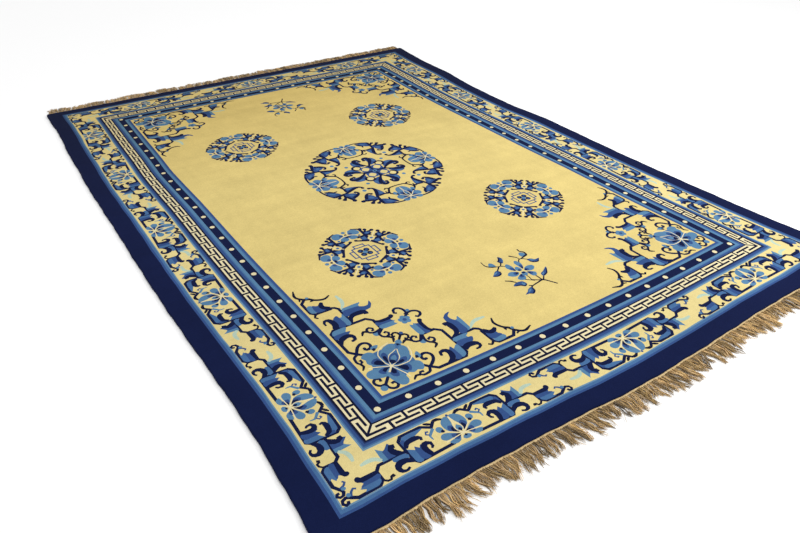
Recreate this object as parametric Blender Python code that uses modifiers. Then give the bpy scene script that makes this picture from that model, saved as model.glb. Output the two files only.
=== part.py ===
# Hand-knotted Chinese rug, lying flat on the floor, with a fringe at each end.
# Metres, +Z up. X runs across the rug, Y along it, the near end is at -Y.
import math
import random
from collections import namedtuple

import bmesh
import bpy

# Driving dimensions
HALF_WIDTH = 1.219           # knotted cloth, centre line to side edge, before the bends below
HALF_LENGTH = 1.710          # knotted cloth, centre line to end edge
THICKNESS = 0.012            # foundation and pile together
PILE_ROUNDING = 0.0045       # the pile falls away round the rim
CORNER_RADIUS = 0.014
RING_HALF_WIDTH = 0.876      # line of pearls in the border, which the bends refer to
RING_HALF_LENGTH = 1.377

# The rug isn't quite square: its middle bows sideways and its ends bow outward
SIDE_BOW = -0.0139
SIDE_LEAN = 0.0018
WAIST = 0.0045
END_BOW = -0.0077
END_FLARE = 0.0119
LENGTH_DRIFT = 0.0374
RIPPLE = 0.0010              # small waves along the edges
RIPPLE_LENGTHS = (0.213, 0.087)

# How far each side edge lies outside the straight line, at places along the rug
SideRow = namedtuple("SideRow", "along left right")
SIDES = (
    SideRow(-1.74, 0.055, 0.020),
    SideRow(-1.50, 0.031, 0.009),
    SideRow(-1.28, 0.015, -0.005),
    SideRow(-1.00, 0.010, -0.010),
    SideRow(-0.60, 0.012, -0.013),
    SideRow(-0.12, 0.009, -0.002),
    SideRow(0.05, 0.007, 0.000),
    SideRow(0.30, 0.008, -0.021),
    SideRow(0.62, 0.010, -0.017),
    SideRow(0.82, 0.006, -0.005),
    SideRow(1.04, 0.007, 0.020),
    SideRow(1.34, -0.001, 0.025),
    SideRow(1.60, 0.006, 0.047),
    SideRow(1.78, 0.010, 0.066),
)

# How far each end edge lies outside the straight line, at places across the rug
EndRow = namedtuple("EndRow", "across near far")
ENDS = (
    EndRow(-1.28, 0.020, 0.012),
    EndRow(-1.10, 0.008, 0.004),
    EndRow(-0.86, -0.012, 0.002),
    EndRow(-0.44, -0.018, 0.003),
    EndRow(-0.15, -0.009, 0.003),
    EndRow(0.14, -0.014, 0.008),
    EndRow(0.57, -0.022, 0.014),
    EndRow(0.85, -0.014, 0.022),
    EndRow(1.05, -0.010, 0.027),
    EndRow(1.30, 0.000, 0.037),
)
SIDE_STEPS = 60
END_STEPS = 40
CORNER_STEPS = 4

# Fringe: a woven web along each end, and locks of warp yarn laid out on the floor
PIECE_GAP = 0.0003
WEB_WIDTH = 0.008
WEB_HEIGHT = 0.005
LOCKS = 140
LOCK_WIDTH = 0.0125
LOCK_HEIGHT = 0.0085
LOCK_ROOT_DEPTH = 0.005      # how far a lock's root is buried in the web
LOCK_STEPS = 5
END_LOCK_INSET = 0.016       # first and last lock, in from the rug's corner
CLUMP_LENGTH = 0.086         # neighbouring locks gather into clumps of about this width
CLUMP_PULL = 0.0060
DRIFT_LENGTH = 0.43          # and lean together over longer stretches
DRIFT_PULL = 0.012
REACH_WAVE = 0.007
TIP_JITTER = 0.0008
REACH_JITTER = 0.006
THINNER_LOCKS = 0.12         # the thinnest lock is thinner by this share

# How a lock narrows and lowers along its length: share of length, width and sideways travel
LockRow = namedtuple("LockRow", "share size travel")
LOCK_SHAPE = (
    LockRow(0.00, 0.86, 0.00),
    LockRow(0.15, 0.96, 0.03),
    LockRow(0.40, 1.00, 0.22),
    LockRow(0.65, 0.78, 0.52),
    LockRow(0.85, 0.57, 0.82),
    LockRow(1.00, 0.40, 1.00),
)

# Each end's fringe: outward direction, mean reach and seed of its own disorder
FringeRow = namedtuple("FringeRow", "name outward reach lean seed phase")
FRINGES = (
    FringeRow("fringe_near", -1, 0.086, 0.010, 31, 0.7),
    FringeRow("fringe_far", 1, 0.092, 0.006, 57, 2.9),
)

PILE_COLOUR = (0.72, 0.58, 0.27, 1.0)
FRINGE_COLOUR = (0.40, 0.27, 0.13, 1.0)


def table_value(rows, key, column, at):
    """Smooth curve (Catmull-Rom) through one column of a table."""
    keys = [getattr(row, key) for row in rows]
    values = [getattr(row, column) for row in rows]
    at = min(max(at, keys[0]), keys[-1])
    i = max(k for k in range(len(keys) - 1) if keys[k] <= at)
    step = keys[i + 1] - keys[i]
    f = (at - keys[i]) / step

    def slope(k):
        a = max(k - 1, 0)
        b = min(k + 1, len(keys) - 1)
        return (values[b] - values[a]) / (keys[b] - keys[a]) * step

    f2 = f * f
    f3 = f2 * f
    return (
        values[i] * (2 * f3 - 3 * f2 + 1)
        + slope(i) * (f3 - 2 * f2 + f)
        + values[i + 1] * (3 * f2 - 2 * f3)
        + slope(i + 1) * (f3 - f2)
    )


def ripple(at, phase):
    """Small irregular wave along an edge."""
    long_wave = math.sin(2 * math.pi * at / RIPPLE_LENGTHS[0] + phase)
    short_wave = math.sin(2 * math.pi * at / RIPPLE_LENGTHS[1] + 2.3 * phase)
    return RIPPLE * (long_wave + 0.7 * short_wave)


def bend(across, along):
    """Floor position of a point of the straight rug, in the rug as it lies."""
    s = across / RING_HALF_WIDTH
    t = along / RING_HALF_LENGTH
    x = across + (SIDE_BOW + WAIST * s) * (1 - t * t) + SIDE_LEAN * (t - t ** 3)
    y = along + (END_BOW + END_FLARE * t) * (1 - s * s) + LENGTH_DRIFT * (1 - t * t)
    return x, y


def side_edge(sign, along):
    """Distance of a side edge from the centre line; sign -1 is the left side."""
    column = "left" if sign < 0 else "right"
    return HALF_WIDTH + table_value(SIDES, "along", column, along) + ripple(along, 1.0 + sign)


def end_edge(sign, across):
    """Distance of an end edge from the centre line; sign -1 is the near end."""
    column = "near" if sign < 0 else "far"
    return HALF_LENGTH + table_value(ENDS, "across", column, across) + ripple(across, 3.0 + sign)


def corner(side, end):
    """Straight-rug position where a side edge and an end edge meet."""
    across = side * HALF_WIDTH
    along = end * HALF_LENGTH
    for _ in range(6):
        along = end * end_edge(end, across)
        across = side * side_edge(side, along)
    return across, along


def corner_arc(side, end):
    """Rounded corner, as points that start on the side edge and finish on the end edge."""
    across, along = corner(side, end)
    centre = (across - side * CORNER_RADIUS, along - end * CORNER_RADIUS)
    points = [(side * side_edge(side, centre[1]), centre[1])]
    for k in range(1, CORNER_STEPS):
        angle = math.pi / 2 * k / CORNER_STEPS
        points.append((
            centre[0] + side * CORNER_RADIUS * math.cos(angle),
            centre[1] + end * CORNER_RADIUS * math.sin(angle),
        ))
    return points + [(centre[0], end * end_edge(end, centre[0]))]


def side_points(sign, start, stop):
    """Points along a side edge, between two places along the rug."""
    places = [start + (stop - start) * k / SIDE_STEPS for k in range(1, SIDE_STEPS)]
    return [(sign * side_edge(sign, along), along) for along in places]


def end_points(sign, outward=0.0):
    """Points along an end edge from corner to corner, left to right, moved outward if asked."""
    left = corner_arc(-1, sign)[-1][0]
    right = corner_arc(1, sign)[-1][0]
    places = [left + (right - left) * k / END_STEPS for k in range(END_STEPS + 1)]
    return [(across, sign * (end_edge(sign, across) + outward)) for across in places]


def rug_outline():
    """Outline of the knotted cloth on the floor, counter-clockwise from the near right corner."""
    near_right = corner_arc(1, -1)
    far_right = corner_arc(1, 1)
    far_left = corner_arc(-1, 1)
    near_left = corner_arc(-1, -1)
    points = near_right[::-1]
    points += side_points(1, near_right[0][1], far_right[0][1])
    points += far_right
    points += end_points(1)[-2:0:-1]
    points += far_left[::-1]
    points += side_points(-1, far_left[0][1], near_left[0][1])
    points += near_left
    points += end_points(-1)[1:-1]
    return [bend(*point) for point in points]


def make_material(name, colour, roughness):
    material = bpy.data.materials.new(name)
    material.use_nodes = True
    shader = material.node_tree.nodes["Principled BSDF"]
    shader.inputs["Base Color"].default_value = colour
    shader.inputs["Roughness"].default_value = roughness
    shader.inputs["Metallic"].default_value = 0.0
    return material


def mesh_from_curve(name, curve):
    """Closed mesh of a curve's evaluated surface; the curve itself is removed."""
    holder = bpy.data.objects.new(name + "_curve", curve)
    bpy.context.scene.collection.objects.link(holder)
    bpy.context.view_layer.update()
    evaluated = holder.evaluated_get(bpy.context.evaluated_depsgraph_get())
    mesh = bpy.data.meshes.new_from_object(evaluated)
    mesh.name = name
    bpy.data.objects.remove(holder)
    bpy.data.curves.remove(curve)
    work = bmesh.new()
    work.from_mesh(mesh)
    bmesh.ops.remove_doubles(work, verts=work.verts, dist=0.00002)
    bmesh.ops.recalc_face_normals(work, faces=work.faces)
    work.to_mesh(mesh)
    work.free()
    return mesh


def slab(name, outline, height):
    """Flat solid that stands on the floor, from an outline."""
    curve = bpy.data.curves.new(name, "CURVE")
    curve.dimensions = "2D"
    curve.fill_mode = "BOTH"
    curve.extrude = height / 2
    spline = curve.splines.new("POLY")
    spline.points.add(len(outline) - 1)
    for point, (x, y) in zip(spline.points, outline):
        point.co = (x, y, 0.0, 1.0)
    spline.use_cyclic_u = True
    mesh = mesh_from_curve(name, curve)
    for vertex in mesh.vertices:
        vertex.co.z += height / 2
    return mesh


def add_object(name, mesh, material, collection):
    piece = bpy.data.objects.new(name, mesh)
    mesh.materials.clear()
    mesh.materials.append(material)
    collection.objects.link(piece)
    return piece


def make_rug_body(material, collection):
    """The knotted cloth: flat underneath, its upper rim rounded like sheared pile."""
    mesh = slab("rug_body", rug_outline(), THICKNESS)
    body = add_object("rug_body", mesh, material, collection)
    mark_upper_rim(mesh)
    rounding = body.modifiers.new("pile_rounding", "BEVEL")
    rounding.limit_method = "WEIGHT"
    rounding.width = PILE_ROUNDING
    rounding.segments = 2
    mesh.shade_smooth()
    mesh.set_sharp_from_angle(angle=math.radians(50))
    return body


def mark_upper_rim(mesh):
    """Gives a bevel weight to the edges where the walls meet the top."""
    work = bmesh.new()
    work.from_mesh(mesh)
    weight = work.edges.layers.float.new("bevel_weight_edge")
    for edge in work.edges:
        on_top = all(vertex.co.z > THICKNESS * 0.9 for vertex in edge.verts)
        on_wall = any(abs(face.normal.z) < 0.5 for face in edge.link_faces)
        edge[weight] = 1.0 if on_top and on_wall else 0.0
    work.to_mesh(mesh)
    work.free()


def web_outline(fringe):
    """Outline of the narrow strip along one end, a hair's breadth clear of the knotted cloth."""
    inner = end_points(fringe.outward, PIECE_GAP)
    outer = end_points(fringe.outward, WEB_WIDTH)
    ring = outer + inner[::-1] if fringe.outward < 0 else inner + outer[::-1]
    return [bend(*point) for point in ring]


def lock_path(fringe, across, chance):
    """Route of one lock on the floor: points and the size of the lock at each."""
    sign = fringe.outward
    clump = CLUMP_PULL * math.sin(2 * math.pi * across / CLUMP_LENGTH + fringe.phase)
    drift = DRIFT_PULL * math.sin(2 * math.pi * across / DRIFT_LENGTH + 2 * fringe.phase)
    sideways = fringe.lean + clump + drift + chance.uniform(-TIP_JITTER, TIP_JITTER)
    wave = REACH_WAVE * math.sin(2 * math.pi * across / (2.7 * CLUMP_LENGTH) + fringe.phase)
    reach = fringe.reach + wave + chance.uniform(-REACH_JITTER, REACH_JITTER)
    bulk = 1 - chance.uniform(0, THINNER_LOCKS)
    root = end_edge(sign, across) + WEB_WIDTH - LOCK_ROOT_DEPTH
    path = []
    for k in range(LOCK_STEPS + 1):
        share = k / LOCK_STEPS
        travel = table_value(LOCK_SHAPE, "share", "travel", share) * sideways
        along = root + share * (reach - WEB_WIDTH + LOCK_ROOT_DEPTH)
        x, y = bend(across + travel, sign * along)
        path.append((x, y, bulk * table_value(LOCK_SHAPE, "share", "size", share)))
    return path


def lock_section():
    """Cross-section of a lock: three-sided, its base level on the floor."""
    curve = bpy.data.curves.new("lock_section", "CURVE")
    curve.dimensions = "2D"
    spline = curve.splines.new("POLY")
    spline.points.add(2)
    corners = ((-LOCK_WIDTH / 2, 0.0), (LOCK_WIDTH / 2, 0.0), (0.0, LOCK_HEIGHT))
    for point, (x, y) in zip(spline.points, corners):
        point.co = (x, y, 0.0, 1.0)
    spline.use_cyclic_u = True
    holder = bpy.data.objects.new("lock_section", curve)
    bpy.context.scene.collection.objects.link(holder)
    return holder


def make_locks(fringe):
    """All the locks of one fringe as one mesh of separate closed bodies."""
    chance = random.Random(fringe.seed)
    left = corner(-1, fringe.outward)[0] + END_LOCK_INSET
    right = corner(1, fringe.outward)[0] - END_LOCK_INSET
    section = lock_section()
    curve = bpy.data.curves.new(fringe.name + "_locks", "CURVE")
    curve.dimensions = "3D"
    curve.twist_mode = "Z_UP"
    curve.bevel_mode = "OBJECT"
    curve.bevel_object = section
    curve.use_fill_caps = True
    curve.resolution_u = 1
    for k in range(LOCKS):
        across = left + (right - left) * (k + 0.5) / LOCKS
        path = lock_path(fringe, across, chance)
        spline = curve.splines.new("POLY")
        spline.points.add(len(path) - 1)
        for point, (x, y, size) in zip(spline.points, path):
            point.co = (x, y, 0.0, 1.0)
            point.radius = size
    mesh = mesh_from_curve(fringe.name + "_locks", curve)
    bpy.data.objects.remove(section)
    return mesh


def make_fringe(fringe, material, collection, cutters):
    """One end's web with its locks grown out of it."""
    web = add_object(fringe.name, slab(fringe.name, web_outline(fringe), WEB_HEIGHT), material, collection)
    locks = bpy.data.objects.new(fringe.name + "_locks", make_locks(fringe))
    locks.hide_render = True
    locks.display_type = "WIRE"
    cutters.objects.link(locks)
    union = web.modifiers.new("locks", "BOOLEAN")
    union.operation = "UNION"
    union.object = locks
    return web


def box_middle(pieces):
    """Middle of the floor rectangle that holds every piece."""
    bpy.context.view_layer.update()
    graph = bpy.context.evaluated_depsgraph_get()
    points = []
    for piece in pieces:
        points += [vertex.co.copy() for vertex in piece.evaluated_get(graph).data.vertices]
    return [(min(p[k] for p in points) + max(p[k] for p in points)) / 2 for k in range(2)]


def new_collection(name):
    collection = bpy.data.collections.new(name)
    bpy.context.scene.collection.children.link(collection)
    return collection


def main():
    for item in list(bpy.data.objects):
        bpy.data.objects.remove(item)
    collection = new_collection("chinese_rug")
    cutters = new_collection("cutters")
    pile = make_material("rug_pile", PILE_COLOUR, 0.95)
    yarn = make_material("fringe_yarn", FRINGE_COLOUR, 0.9)
    pieces = [make_rug_body(pile, collection)]
    for fringe in FRINGES:
        pieces.append(make_fringe(fringe, yarn, collection, cutters))
    middle = box_middle(pieces)
    for item in pieces + list(cutters.objects):
        item.location.x = -middle[0]
        item.location.y = -middle[1]


main()
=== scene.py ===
# Looks of the Chinese rug: knotted design, pile, woven back and yarn fringes, on the CAD frame.
# Metres, +Z up. Dyes are painted face by face on one closed sheet.
import math
import random
from collections import namedtuple

import bpy
import numpy
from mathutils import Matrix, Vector, geometry, noise


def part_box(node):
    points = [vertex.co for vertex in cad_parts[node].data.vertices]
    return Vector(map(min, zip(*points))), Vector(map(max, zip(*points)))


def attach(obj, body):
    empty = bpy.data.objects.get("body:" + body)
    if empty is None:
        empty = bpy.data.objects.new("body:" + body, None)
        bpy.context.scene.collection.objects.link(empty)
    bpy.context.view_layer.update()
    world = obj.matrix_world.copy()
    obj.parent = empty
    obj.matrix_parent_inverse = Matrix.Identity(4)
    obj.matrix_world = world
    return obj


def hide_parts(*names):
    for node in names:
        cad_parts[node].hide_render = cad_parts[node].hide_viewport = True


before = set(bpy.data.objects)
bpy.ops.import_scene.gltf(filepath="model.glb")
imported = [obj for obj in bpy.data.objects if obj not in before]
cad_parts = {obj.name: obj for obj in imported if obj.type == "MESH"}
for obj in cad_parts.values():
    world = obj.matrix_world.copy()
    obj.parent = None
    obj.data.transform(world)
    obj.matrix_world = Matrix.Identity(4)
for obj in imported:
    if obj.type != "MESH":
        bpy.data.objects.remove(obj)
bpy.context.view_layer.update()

# Layout of the straight rug, as in the part's source
HALF_WIDTH = 1.219           # knotted cloth, centre line to side edge
HALF_LENGTH = 1.710
THICKNESS = 0.012
PILE_ROUNDING = 0.0045
CORNER_RADIUS = 0.014
RING_HALF_WIDTH = 0.876      # line of pearls
RING_HALF_LENGTH = 1.377
SIDE_BOW = -0.0139           # the rug as it lies isn't quite square
SIDE_LEAN = 0.0018
WAIST = 0.0045
END_BOW = -0.0077
END_FLARE = 0.0119
LENGTH_DRIFT = 0.0374
RIPPLE = 0.0010
RIPPLE_LENGTHS = (0.213, 0.087)

# How far the side edges and the pearl lines lie outside their straight lines
SideRow = namedtuple("SideRow", "along left right")
SIDES = (
    SideRow(-1.74, 0.055, 0.020),
    SideRow(-1.50, 0.031, 0.009),
    SideRow(-1.28, 0.015, -0.005),
    SideRow(-1.00, 0.010, -0.010),
    SideRow(-0.60, 0.012, -0.013),
    SideRow(-0.12, 0.009, -0.002),
    SideRow(0.05, 0.007, 0.000),
    SideRow(0.30, 0.008, -0.021),
    SideRow(0.62, 0.010, -0.017),
    SideRow(0.82, 0.006, -0.005),
    SideRow(1.04, 0.007, 0.020),
    SideRow(1.34, -0.001, 0.025),
    SideRow(1.60, 0.006, 0.047),
    SideRow(1.78, 0.010, 0.066),
)
PEARL_LINES = (
    SideRow(-1.38, 0.0075, -0.0060),
    SideRow(-1.17, 0.0000, -0.0040),
    SideRow(-0.95, -0.0020, -0.0080),
    SideRow(-0.74, -0.0010, -0.0085),
    SideRow(-0.53, 0.0010, -0.0060),
    SideRow(-0.32, 0.0010, -0.0110),
    SideRow(-0.11, 0.0000, -0.0146),
    SideRow(0.11, -0.0010, -0.0155),
    SideRow(0.32, 0.0040, -0.0180),
    SideRow(0.53, 0.0080, -0.0210),
    SideRow(0.74, 0.0020, -0.0200),
    SideRow(0.95, 0.0010, -0.0120),
    SideRow(1.17, 0.0000, -0.0030),
    SideRow(1.38, 0.0000, 0.0030),
)
EndRow = namedtuple("EndRow", "across near far")
ENDS = (
    EndRow(-1.28, 0.020, 0.012),
    EndRow(-1.10, 0.008, 0.004),
    EndRow(-0.86, -0.012, 0.002),
    EndRow(-0.44, -0.018, 0.003),
    EndRow(-0.15, -0.009, 0.003),
    EndRow(0.14, -0.014, 0.008),
    EndRow(0.57, -0.022, 0.014),
    EndRow(0.85, -0.014, 0.022),
    EndRow(1.05, -0.010, 0.027),
    EndRow(1.30, 0.000, 0.037),
)
SIDE_STEPS = 180
END_STEPS = 130
CORNER_STEPS = 6
RIM_STEPS = 3
RIM_WOBBLE = 0.0005          # tufts make the rim a little uneven
RIM_INSET = 0.0001           # the mesh lies this far inside the part's outline
PILE_TOLERANCE = 0.0006      # curves of the design are drawn this true on the pile
BACK_TOLERANCE = 0.0016      # and this true on the back
LONGEST_RUN = 0.15           # an outline keeps a point at least this often
MERGE_DISTANCE = 1e-5        # points of two outlines closer than this become one

# Bake map: the pile at the left, the back at the right, the rim and wall unrolled at the top
MAP_SCALE = 0.195            # map widths for each metre
FACE_MIDDLES = ((0.25, 0.365), (0.75, 0.365))
WALL_ROWS_AT = (0.01, 0.76)
WALL_ROW_LENGTH = 0.96
WALL_ROW_HEIGHT = 0.02
WALL_LEVELS = (0.0300, 0.0270, 0.0240, 0.0210, 0.0100, 0.0050)    # metres: rim rows, wall and hem in a row

# Fringe, as in the part's source
WEB_WIDTH = 0.008
WEB_HEIGHT = 0.005
PIECE_GAP = 0.0003
LOCKS = 140
LOCK_ROOT_DEPTH = 0.005
END_LOCK_INSET = 0.016
CLUMP_LENGTH = 0.086
CLUMP_PULL = 0.0060
DRIFT_LENGTH = 0.43
DRIFT_PULL = 0.012
REACH_WAVE = 0.007
REACH_WAVE_LENGTH = 2.7 * CLUMP_LENGTH
TIP_JITTER = 0.0008
REACH_JITTER = 0.006
LockRow = namedtuple("LockRow", "share travel")
LOCK_PATH = (
    LockRow(0.00, 0.00),
    LockRow(0.15, 0.03),
    LockRow(0.40, 0.22),
    LockRow(0.65, 0.52),
    LockRow(0.85, 0.82),
    LockRow(1.00, 1.00),
)
FringeRow = namedtuple("FringeRow", "name outward reach lean seed phase yarn_length")
FRINGES = (
    FringeRow("fringe_near", -1, 0.086, 0.010, 31, 0.7, 0.80),
    FringeRow("fringe_far", 1, 0.092, 0.006, 57, 2.9, 0.98),
)

# Yarns of the fringe; pairs are the least and the most of a random share
YARNS_IN_LOCK = 16
YARN_SPACING = 1.04          # the yarns of a lock spread over this much of its pitch
YARN_WIDTH = 0.0023
YARN_WIDTHS = (0.75, 1.15)
YARN_TIP = 0.45              # width of the tip, in widths
YARN_STEPS = 7
YARN_SCATTER = 0.0045        # how far a yarn leaves its lock by the tip
LOOSE_YARNS = 0.16           # share of yarns that stray further
LOOSE_SCATTER = 3.0          # and how much further
YARN_LENGTHS = (0.84, 1.12)
SHORTEST_YARN = 0.45         # in the length of the part's locks
LONG_YARNS = 0.03            # share of yarns that are longer by the next value
LONGER = 0.5
YARN_CURL = 0.0065
YARN_TURNS = (0.9, 1.5)
TUBE_TWIST = 3.0             # radians from root to tip
PHASE_SPREAD = 0.7
PILE_OF_YARNS = 0.0110       # height of the loose yarns
LOWEST_YARN = 0.0002
TUFT_WIDTH = 0.0125          # yarns gather into tufts of this width
TUFT_GATHER = 0.75
CALM_END = 0.08              # the tufts lie straighter this near to a corner
YARN_DYE = (0.60, 0.405, 0.19)
YARN_SHADES = (0.55, 1.15)
YARN_BLUES = (0.85, 1.1)
LOW_YARN_SHADOW = 0.50            # painted shade: the lowest yarns, lying under the others, keep this share of their colour, and the uppermost are lighter by the next value
UPPER_YARN_LIGHT = 0.62

# Noise along the end that the yarns of a tuft share: sideways pull, length, curl and shade
WaveRow = namedtuple("WaveRow", "strength length layer")
PULL_WAVES = (WaveRow(0.026, 0.021, 0.5), WaveRow(0.026, 0.090, 3.5))
LENGTH_WAVE = WaveRow(0.36, 0.011, 7.5)
CURL_WAVE = WaveRow(7.0, 0.017, 11.5)
SHADE_WAVE = WaveRow(0.8, 0.011, 15.5)

# Section of the web, outward from the cloth's edge; heights in WEB_HEIGHT
WebRow = namedtuple("WebRow", "outward height")
WEB_PROFILE = (
    WebRow(PIECE_GAP, 0.0),
    WebRow(PIECE_GAP, 0.7),
    WebRow(0.0015, 1.0),
    WebRow(0.0035, 0.86),
    WebRow(0.0050, 1.0),
    WebRow(0.0065, 0.84),
    WebRow(WEB_WIDTH, 0.5),
    WebRow(WEB_WIDTH, 0.0),
)
WEB_STEPS = 420
WEB_UNEVENNESS = 0.1
WEB_DYE = (0.58, 0.43, 0.22)
WEB_SHADES = (0.85, 1.1)

# Dyes, linear colour
DYES = {
    "navy": (0.0055, 0.0098, 0.0450),
    "ink": (0.0065, 0.0080, 0.0260),
    "royal": (0.0310, 0.0700, 0.2000),
    "indigo": (0.0150, 0.0300, 0.1050),
    "azure": (0.0550, 0.1300, 0.2750),
    "light": (0.0830, 0.1860, 0.3150),
    "mist": (0.1300, 0.2350, 0.3400),
    "pale": (0.400, 0.510, 0.410),
    "cream": (0.6450, 0.5350, 0.2350),
    "pearl": (0.6800, 0.6000, 0.3700),
    "gold": (0.6300, 0.5000, 0.1880),
}

# Painted shade, darker toward the far end of the wool: full tint and the stretch of Y over which it comes in
FAR_END_SHADE_TINT = (0.83, 0.77, 0.655, 1.0)
FAR_SHADE_FADE = (0.2, 1.6)

# Unevenness of the wool: stretch, scale and detail of its noise, least and most light
WoolRow = namedtuple("WoolRow", "stretch scale detail low high")
WOOL = (
    WoolRow((0.9, 6.0, 1.0), 2.6, 4.0, 0.94, 1.045),      # streaks along the weft
    WoolRow((1.0, 1.0, 1.0), 4.0, 5.0, 0.915, 1.06),      # clouds
    WoolRow((1.0, 0.5, 1.0), 26.0, 3.0, 0.955, 1.03),     # smudges
    WoolRow((1.0, 1.0, 1.0), 420.0, 1.0, 0.84, 1.13),     # tufts
    WoolRow((1.0, 1.0, 1.0), 130.0, 2.0, 0.94, 1.06),     # flecks
)
NOISE_RANGE = (0.25, 0.75)   # nearly all of a noise's values lie in it

# Loops of the border: how far each lies outside the pearl line, and the dye inside it
BandRow = namedtuple("BandRow", "dye side end")
BANDS = (
    BandRow("royal", 0.2685, 0.2680),
    BandRow("azure", 0.2600, 0.2600),
    BandRow("mist", 0.2510, 0.2490),
    BandRow("cream", 0.2470, 0.2440),
    BandRow("mist", 0.1185, 0.1175),
    BandRow("azure", 0.1130, 0.1110),
    BandRow("royal", 0.1090, 0.1060),
    BandRow("indigo", 0.1010, 0.0970),
    BandRow("ink", 0.0975, 0.0930),
    BandRow("pearl", 0.0905, 0.0880),
    BandRow("ink", 0.0500, 0.0455),
    BandRow("royal", 0.0435, 0.0400),
    BandRow("azure", 0.0330, 0.0310),
    BandRow("light", 0.0280, 0.0270),
    BandRow("navy", 0.0160, 0.0170),
    BandRow("light", -0.0165, -0.0175),
    BandRow("azure", -0.0270, -0.0270),
    BandRow("royal", -0.0320, -0.0310),
    BandRow("gold", -0.0420, -0.0400),
)
FRET_INNER = (0.0500, 0.0455)    # fret zone, side and end offsets of its inner and outer lines
FRET_OUTER = (0.0905, 0.0880)
FRET_LEVELS = (0.0, 0.185, 0.395, 0.605, 0.815, 1.0)    # shares of the way from inner to outer line
FRET_BAR = 0.392             # half a bar's length, in the pitch of the figures
FRET_STEM = 0.0046           # half a stem's width
FRET_OVERLAP = 0.001         # stems reach this far into the lines beside the fret
LONG_BAR = 0.05              # a longer bar gets a point in its middle, to follow the bends
ELL_LENGTH = 0.064
SLANT_WIDTH = 0.0075
SLANT_OVERLAP = 0.002
PEARL_RADIUS = 0.0105
PEARLS_ACROSS = 16           # intervals between pearls
PEARLS_ALONG = 26
LONGEST_STEP = 1.1           # chart squares between the points of a drawn curve
MOST_STEPS = 5               # but no more points than this between two charted ones
SPOT_SIDES = 10
MITRE_LIMIT = 0.5            # the corner of a bend reaches no further than 1 over this, in half widths
DARK_SPREAD = 0.30           # thin dark stems spread into the rows of knots beside them, in squares
THIN_LINE = 1.8
TWIG_WIDENING = 1.35         # a spray's squares are smaller, so its stems are more of them wide
LOTUSES_ACROSS = (-0.723, 0.0, 0.723)
LOTUSES_ALONG = (-1.241, -0.602, -0.007, 0.6145, 1.2266)
UNIT_DEPTH = 15.3            # floral band's depth in chart squares
SHORT_SIDE_SQUARE = 0.00765  # chart squares of the motifs
LONG_SIDE_SQUARE = 0.00680
CORNER_SQUARE = 0.008227
MEDALLION_SQUARE = 0.00617
MEDALLION_AT = (0.006, -0.004)
SMALL_SQUARE = 0.00411
SPRAY_SQUARE = 0.003526
SMALL_MEDALLION_AT = (0.433, 0.617)
SPRAY_ALONG = 1.052
BAND_STEP = 0.06             # a long straight line gets a point this often, to follow the bends

# Corners of the rug by side and end, and how far their motif is stretched along the rug
CornerRow = namedtuple("CornerRow", "side end stretch")
CORNERS = (
    CornerRow(-1, -1, 1.0),
    CornerRow(-1, 1, 0.99),
    CornerRow(1, -1, 0.965),
    CornerRow(1, 1, 1.035),
)


def table_value(rows, key, column, at):
    """Smooth curve (Catmull-Rom) through one column of a table."""
    keys = [getattr(row, key) for row in rows]
    values = [getattr(row, column) for row in rows]
    at = min(max(at, keys[0]), keys[-1])
    i = max(k for k in range(len(keys) - 1) if keys[k] <= at)
    step = keys[i + 1] - keys[i]
    f = (at - keys[i]) / step

    def slope(k):
        a = max(k - 1, 0)
        b = min(k + 1, len(keys) - 1)
        return (values[b] - values[a]) / (keys[b] - keys[a]) * step

    f2 = f * f
    f3 = f2 * f
    return (
        values[i] * (2 * f3 - 3 * f2 + 1)
        + slope(i) * (f3 - 2 * f2 + f)
        + values[i + 1] * (3 * f2 - 2 * f3)
        + slope(i + 1) * (f3 - f2)
    )


def ripple(at, phase):
    """Small irregular wave along an edge."""
    long_wave = math.sin(2 * math.pi * at / RIPPLE_LENGTHS[0] + phase)
    short_wave = math.sin(2 * math.pi * at / RIPPLE_LENGTHS[1] + 2.3 * phase)
    return RIPPLE * (long_wave + 0.7 * short_wave)


def bend(across, along):
    """Position of a point of the straight rug, in the rug as it lies."""
    s = across / RING_HALF_WIDTH
    t = along / RING_HALF_LENGTH
    x = across + (SIDE_BOW + WAIST * s) * (1 - t * t) + SIDE_LEAN * (t - t ** 3)
    y = along + (END_BOW + END_FLARE * t) * (1 - s * s) + LENGTH_DRIFT * (1 - t * t)
    return x, y


def side_edge(sign, along):
    """Distance of a side edge from the centre line; sign -1 is the left side."""
    column = "left" if sign < 0 else "right"
    return HALF_WIDTH + table_value(SIDES, "along", column, along) + ripple(along, 1.0 + sign)


def end_edge(sign, across):
    """Distance of an end edge from the centre line; sign -1 is the near end."""
    column = "near" if sign < 0 else "far"
    return HALF_LENGTH + table_value(ENDS, "across", column, across) + ripple(across, 3.0 + sign)


def corner(side, end):
    """Straight-rug position where a side edge and an end edge meet."""
    across = side * HALF_WIDTH
    along = end * HALF_LENGTH
    for _ in range(6):
        along = end * end_edge(end, across)
        across = side * side_edge(side, along)
    return across, along


def corner_arc(side, end):
    """Rounded corner, as points that start on the side edge and finish on the end edge."""
    across, along = corner(side, end)
    centre = (across - side * CORNER_RADIUS, along - end * CORNER_RADIUS)
    points = [(side * side_edge(side, centre[1]), centre[1])]
    for k in range(1, CORNER_STEPS):
        angle = math.pi / 2 * k / CORNER_STEPS
        points.append((
            centre[0] + side * CORNER_RADIUS * math.cos(angle),
            centre[1] + end * CORNER_RADIUS * math.sin(angle),
        ))
    return points + [(centre[0], end * end_edge(end, centre[0]))]


def side_points(sign, start, stop):
    """Points along a side edge, between two places along the rug."""
    places = [start + (stop - start) * k / SIDE_STEPS for k in range(1, SIDE_STEPS)]
    return [(sign * side_edge(sign, along), along) for along in places]


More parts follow.
